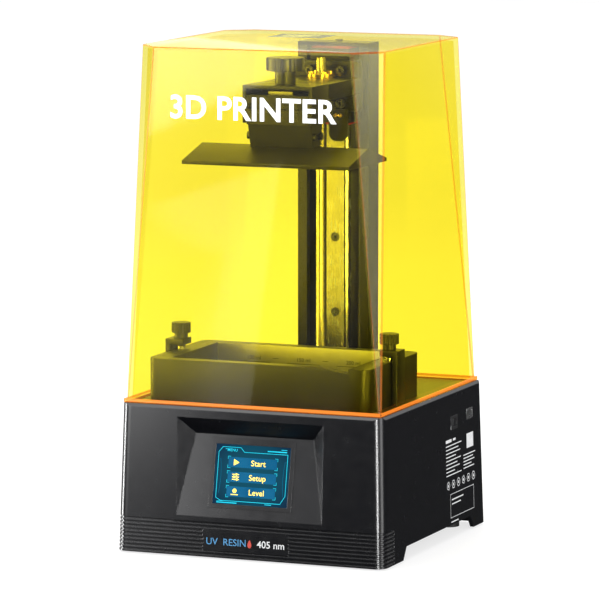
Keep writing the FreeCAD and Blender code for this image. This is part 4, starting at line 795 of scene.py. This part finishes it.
# The uprights at the back left stay plain. Of the two beside the cut corner at the front
# right, the front one glows faintly and the other one most of all.
for edge in work.edges:
    if len(edge.link_faces) == 2 and edge.calc_face_angle() > SHARP:
        outward = (edge.verts[0].co + edge.verts[1].co) / 2 - hood_middle
        outer = all(face.normal.dot(outward) > 0 for face in edge.link_faces)
        behind = outward.y > 0.03 and outward.x < 0.02 and abs(outward.z) < 0.12
        faint = outward.x > 0.085 and outward.y < -0.1 and abs(outward.z) < 0.12
        strong = outward.x > 0.085 and -0.1 < outward.y < -0.08
        share = 0.2 if faint else 1.0 if strong else 0.65
        edge[weights] = share if outer and not behind else 0.0
        edge.smooth = edge[weights] > 0
for face in work.faces:
    face.material_index = 2 if face.calc_center_median().z < hood_low.z + FLANGE_THICK else 0
work.to_mesh(hood.data)
work.free()
hood.modifiers["edges"].limit_method = "WEIGHT"
hood.modifiers["edges"].material = 1
hood.modifiers["edges"].use_clamp_overlap = False

# White letters are printed on the hood's front, and a blue label lies in the skin of its top.
FLANGE_LEDGE = 1.9
hood_front = hood_low.y / MM + FLANGE_LEDGE


def on_hood(u, v, lift):
    """The place, in metres, of a point u across and at height v on the hood's front, which
    leans back 0.5 mm over its height: y = foot + 0.5 (v - 119) / 272 - lift."""
    u, v, lift = np.broadcast_arrays(np.asarray(u, float), np.asarray(v, float), float(lift))
    return np.stack([u, hood_front + 0.5 * (v - 119) / 272 - lift, v], -1) * MM


def on_crown(u, v, lift):
    """The place, in metres, of a point (u, v) this lift above the hood's level top. A
    negative lift is under its clear skin."""
    u, v, lift = np.broadcast_arrays(np.asarray(u, float), np.asarray(v, float), float(lift))
    return np.stack([u, v, hood_high.z / MM + lift], -1) * MM


# Painted glow: the white letters give out light of their own, and the blue label a little.
letter_ink_painted_glow = ink("letter_white_painted_glow", (0.93, 0.94, 0.93), 0.6)
label_blue_painted_glow = ink("label_blue_painted_glow", (0.01, 0.035, 0.42), 0.1)
add_words("hood_words", "3D PRINTER", 17.0, (0, 346), on_hood, 0.1, letter_ink_painted_glow, "hood", "hood", 0.035, 1.03)
add_prints("hood_label", [bar(-40, 5, 23, 57)], on_crown, -0.08, label_blue_painted_glow, "hood", "hood")
label_print = [bar(-33, -4, 44, 49)]
for row, wide in enumerate((24, 30, 18)):
    label_print.append(bar(-33, -33 + wide, 38 - 5 * row, 40 - 5 * row))
add_prints("hood_label_print", label_print, on_crown, -0.04, white_ink, "hood", "hood")


# The studio: a pale floor, a white surround, soft lamps round the object, a sheet of light
# that shows only in reflections, and a camera with a long lens.
def floor_mesh():
    """A level square of grid points, z = 0, with its edge well out of view."""
    span = np.linspace(-6, 6, 13)
    x, y = np.meshgrid(span, span)
    points = np.stack([x, y, np.full_like(x, -0.0002)], -1).reshape(-1, 3)
    i, j = np.meshgrid(np.arange(12), np.arange(12))
    corner = j * 13 + i
    faces = np.stack([corner, corner + 1, corner + 14, corner + 13], -1)
    return points, faces.reshape(-1, 4).tolist()


floor_paint = Finish("floor_paint")
floor_tone = floor_paint.mix(floor_paint.noise(4, 2), (0.24, 0.24, 0.24), (0.27, 0.27, 0.27))
floor_shade = floor_paint.shade(
    Base_Color=floor_tone, Emission_Color=(1, 1, 1, 1), Emission_Strength=0.74, Roughness=0.8)
floor_points, floor_faces = floor_mesh()
floor_sheet = bpy.data.meshes.new("floor")
floor_sheet.from_pydata(floor_points.tolist(), [], floor_faces)
floor_sheet.materials.append(floor_paint.done(floor_shade))
floor = bpy.data.objects.new("floor", floor_sheet)
bpy.context.scene.collection.objects.link(floor)
floor.visible_glossy = False

surround = bpy.data.worlds.new("surround")
surround.use_nodes = True
sky = surround.node_tree
backdrop = sky.nodes["Background"]
backdrop.inputs["Color"].default_value = (1, 1, 1, 1)
seen = Wire(sky, sky.nodes.new("ShaderNodeLightPath").outputs["Is Camera Ray"])
heading = sky.nodes.new("ShaderNodeSeparateXYZ")
sky.links.new(sky.nodes.new("ShaderNodeTexCoord").outputs["Generated"], heading.inputs[0])
rising = Wire(sky, heading.outputs[2])
glow = rising.maths("SMOOTH_MIN", rising * 7.0 + 0.3, 0.9, 0.2)
light_of_sky = seen + (1 - seen) * (0.05 + glow.maths("MAXIMUM", glow, 0.0))
sky.links.new(light_of_sky.socket, backdrop.inputs["Strength"])
bpy.context.scene.world = surround
bpy.context.scene.view_settings.view_transform = "Standard"


def soft_lamp(name, turn, rise, far, wide, tall, power, shines=True):
    """A rectangular lamp turn degrees round from the front towards the right, rise degrees
    up and far metres away, which faces the middle of the object. One that does not shine
    shows only as a highlight."""
    lamp = bpy.data.lights.new(name, "AREA")
    lamp.shape = "RECTANGLE"
    lamp.size, lamp.size_y = wide, tall
    lamp.energy = power
    a, e = math.radians(turn), math.radians(rise)
    middle = Vector((0, 0, 0.19))
    out = Vector((math.sin(a) * math.cos(e), -math.cos(a) * math.cos(e), math.sin(e)))
    holder = bpy.data.objects.new(name, lamp)
    bpy.context.scene.collection.objects.link(holder)
    holder.location = middle + out * far
    holder.rotation_euler = out.to_track_quat("Z", "Y").to_euler()
    holder.visible_diffuse = shines


def lit_panel():
    """A sheet of light beside the front left corner, brightest at its far end: a grid of
    points (x, y, z) = start + s (end - start) + (0, 0, t)."""
    s, t = np.meshgrid(np.linspace(0, 1, 5), np.linspace(-0.14, 0.62, 5))
    start, end = np.array([-0.22, -0.71, 0.0]), np.array([-0.62, -0.52, 0.0])
    points = start + s[..., None] * (end - start) + t[..., None] * np.array([0, 0, 1.0])
    i, j = np.meshgrid(np.arange(4), np.arange(4))
    corner = j * 5 + i
    faces = np.stack([corner, corner + 1, corner + 6, corner + 5], -1)
    return points.reshape(-1, 3), faces.reshape(-1, 4).tolist()


panel_light = Finish("panel_light")
panel_strength = 1.3 + 6.2 * panel_light.spread(panel_light.along(2), 0.02, 0.07)
panel_strength = panel_strength * panel_light.spread(-1 * panel_light.along(0), 0.26, 0.38)
panel_shade = panel_light.node("ShaderNodeEmission", {}, {"Color": (1, 1, 1, 1), "Strength": panel_strength})
panel_sheet = bpy.data.meshes.new("panel_of_light")
panel_points, panel_faces = lit_panel()
panel_sheet.from_pydata(panel_points.tolist(), [], panel_faces)
panel_sheet.materials.append(panel_light.done(panel_shade))
panel_of_light = bpy.data.objects.new("panel_of_light", panel_sheet)
bpy.context.scene.collection.objects.link(panel_of_light)
panel_of_light.visible_camera = False
panel_of_light.visible_shadow = False
panel_of_light.visible_diffuse = False

soft_lamp("left_lamp", -84, 4, 1.4, 0.26, 1.3, 34, False)
soft_lamp("right_lamp", 36, 2, 1.4, 0.16, 1.0, 26, False)
soft_lamp("facet_lamp", 76, 0, 1.4, 0.5, 1.3, 10, False)
soft_lamp("top_lamp", -20, 72, 1.6, 1.4, 1.2, 18)
soft_lamp("back_lamp", 205, 35, 2.0, 1.2, 1.2, 14)

TURN, RISE, REACH = math.radians(22.05), math.radians(7.47), 3.668
back = Vector((math.sin(TURN) * math.cos(RISE), -math.cos(TURN) * math.cos(RISE), math.sin(RISE)))
right = Vector((math.cos(TURN), math.sin(TURN), 0))
up = back.cross(right)
lens = bpy.data.cameras.new("camera")
lens.lens = 281.8
lens.sensor_width = 36
lens.clip_end = 30
camera = bpy.data.objects.new("camera", lens)
bpy.context.scene.collection.objects.link(camera)
turned = Matrix((right, up, back)).transposed().to_4x4()
spot = Vector((0, 0, 0.19)) + back * REACH - right * 0.00267 - up * 0.00226
camera.matrix_world = Matrix.Translation(spot) @ turned
bpy.context.scene.camera = camera
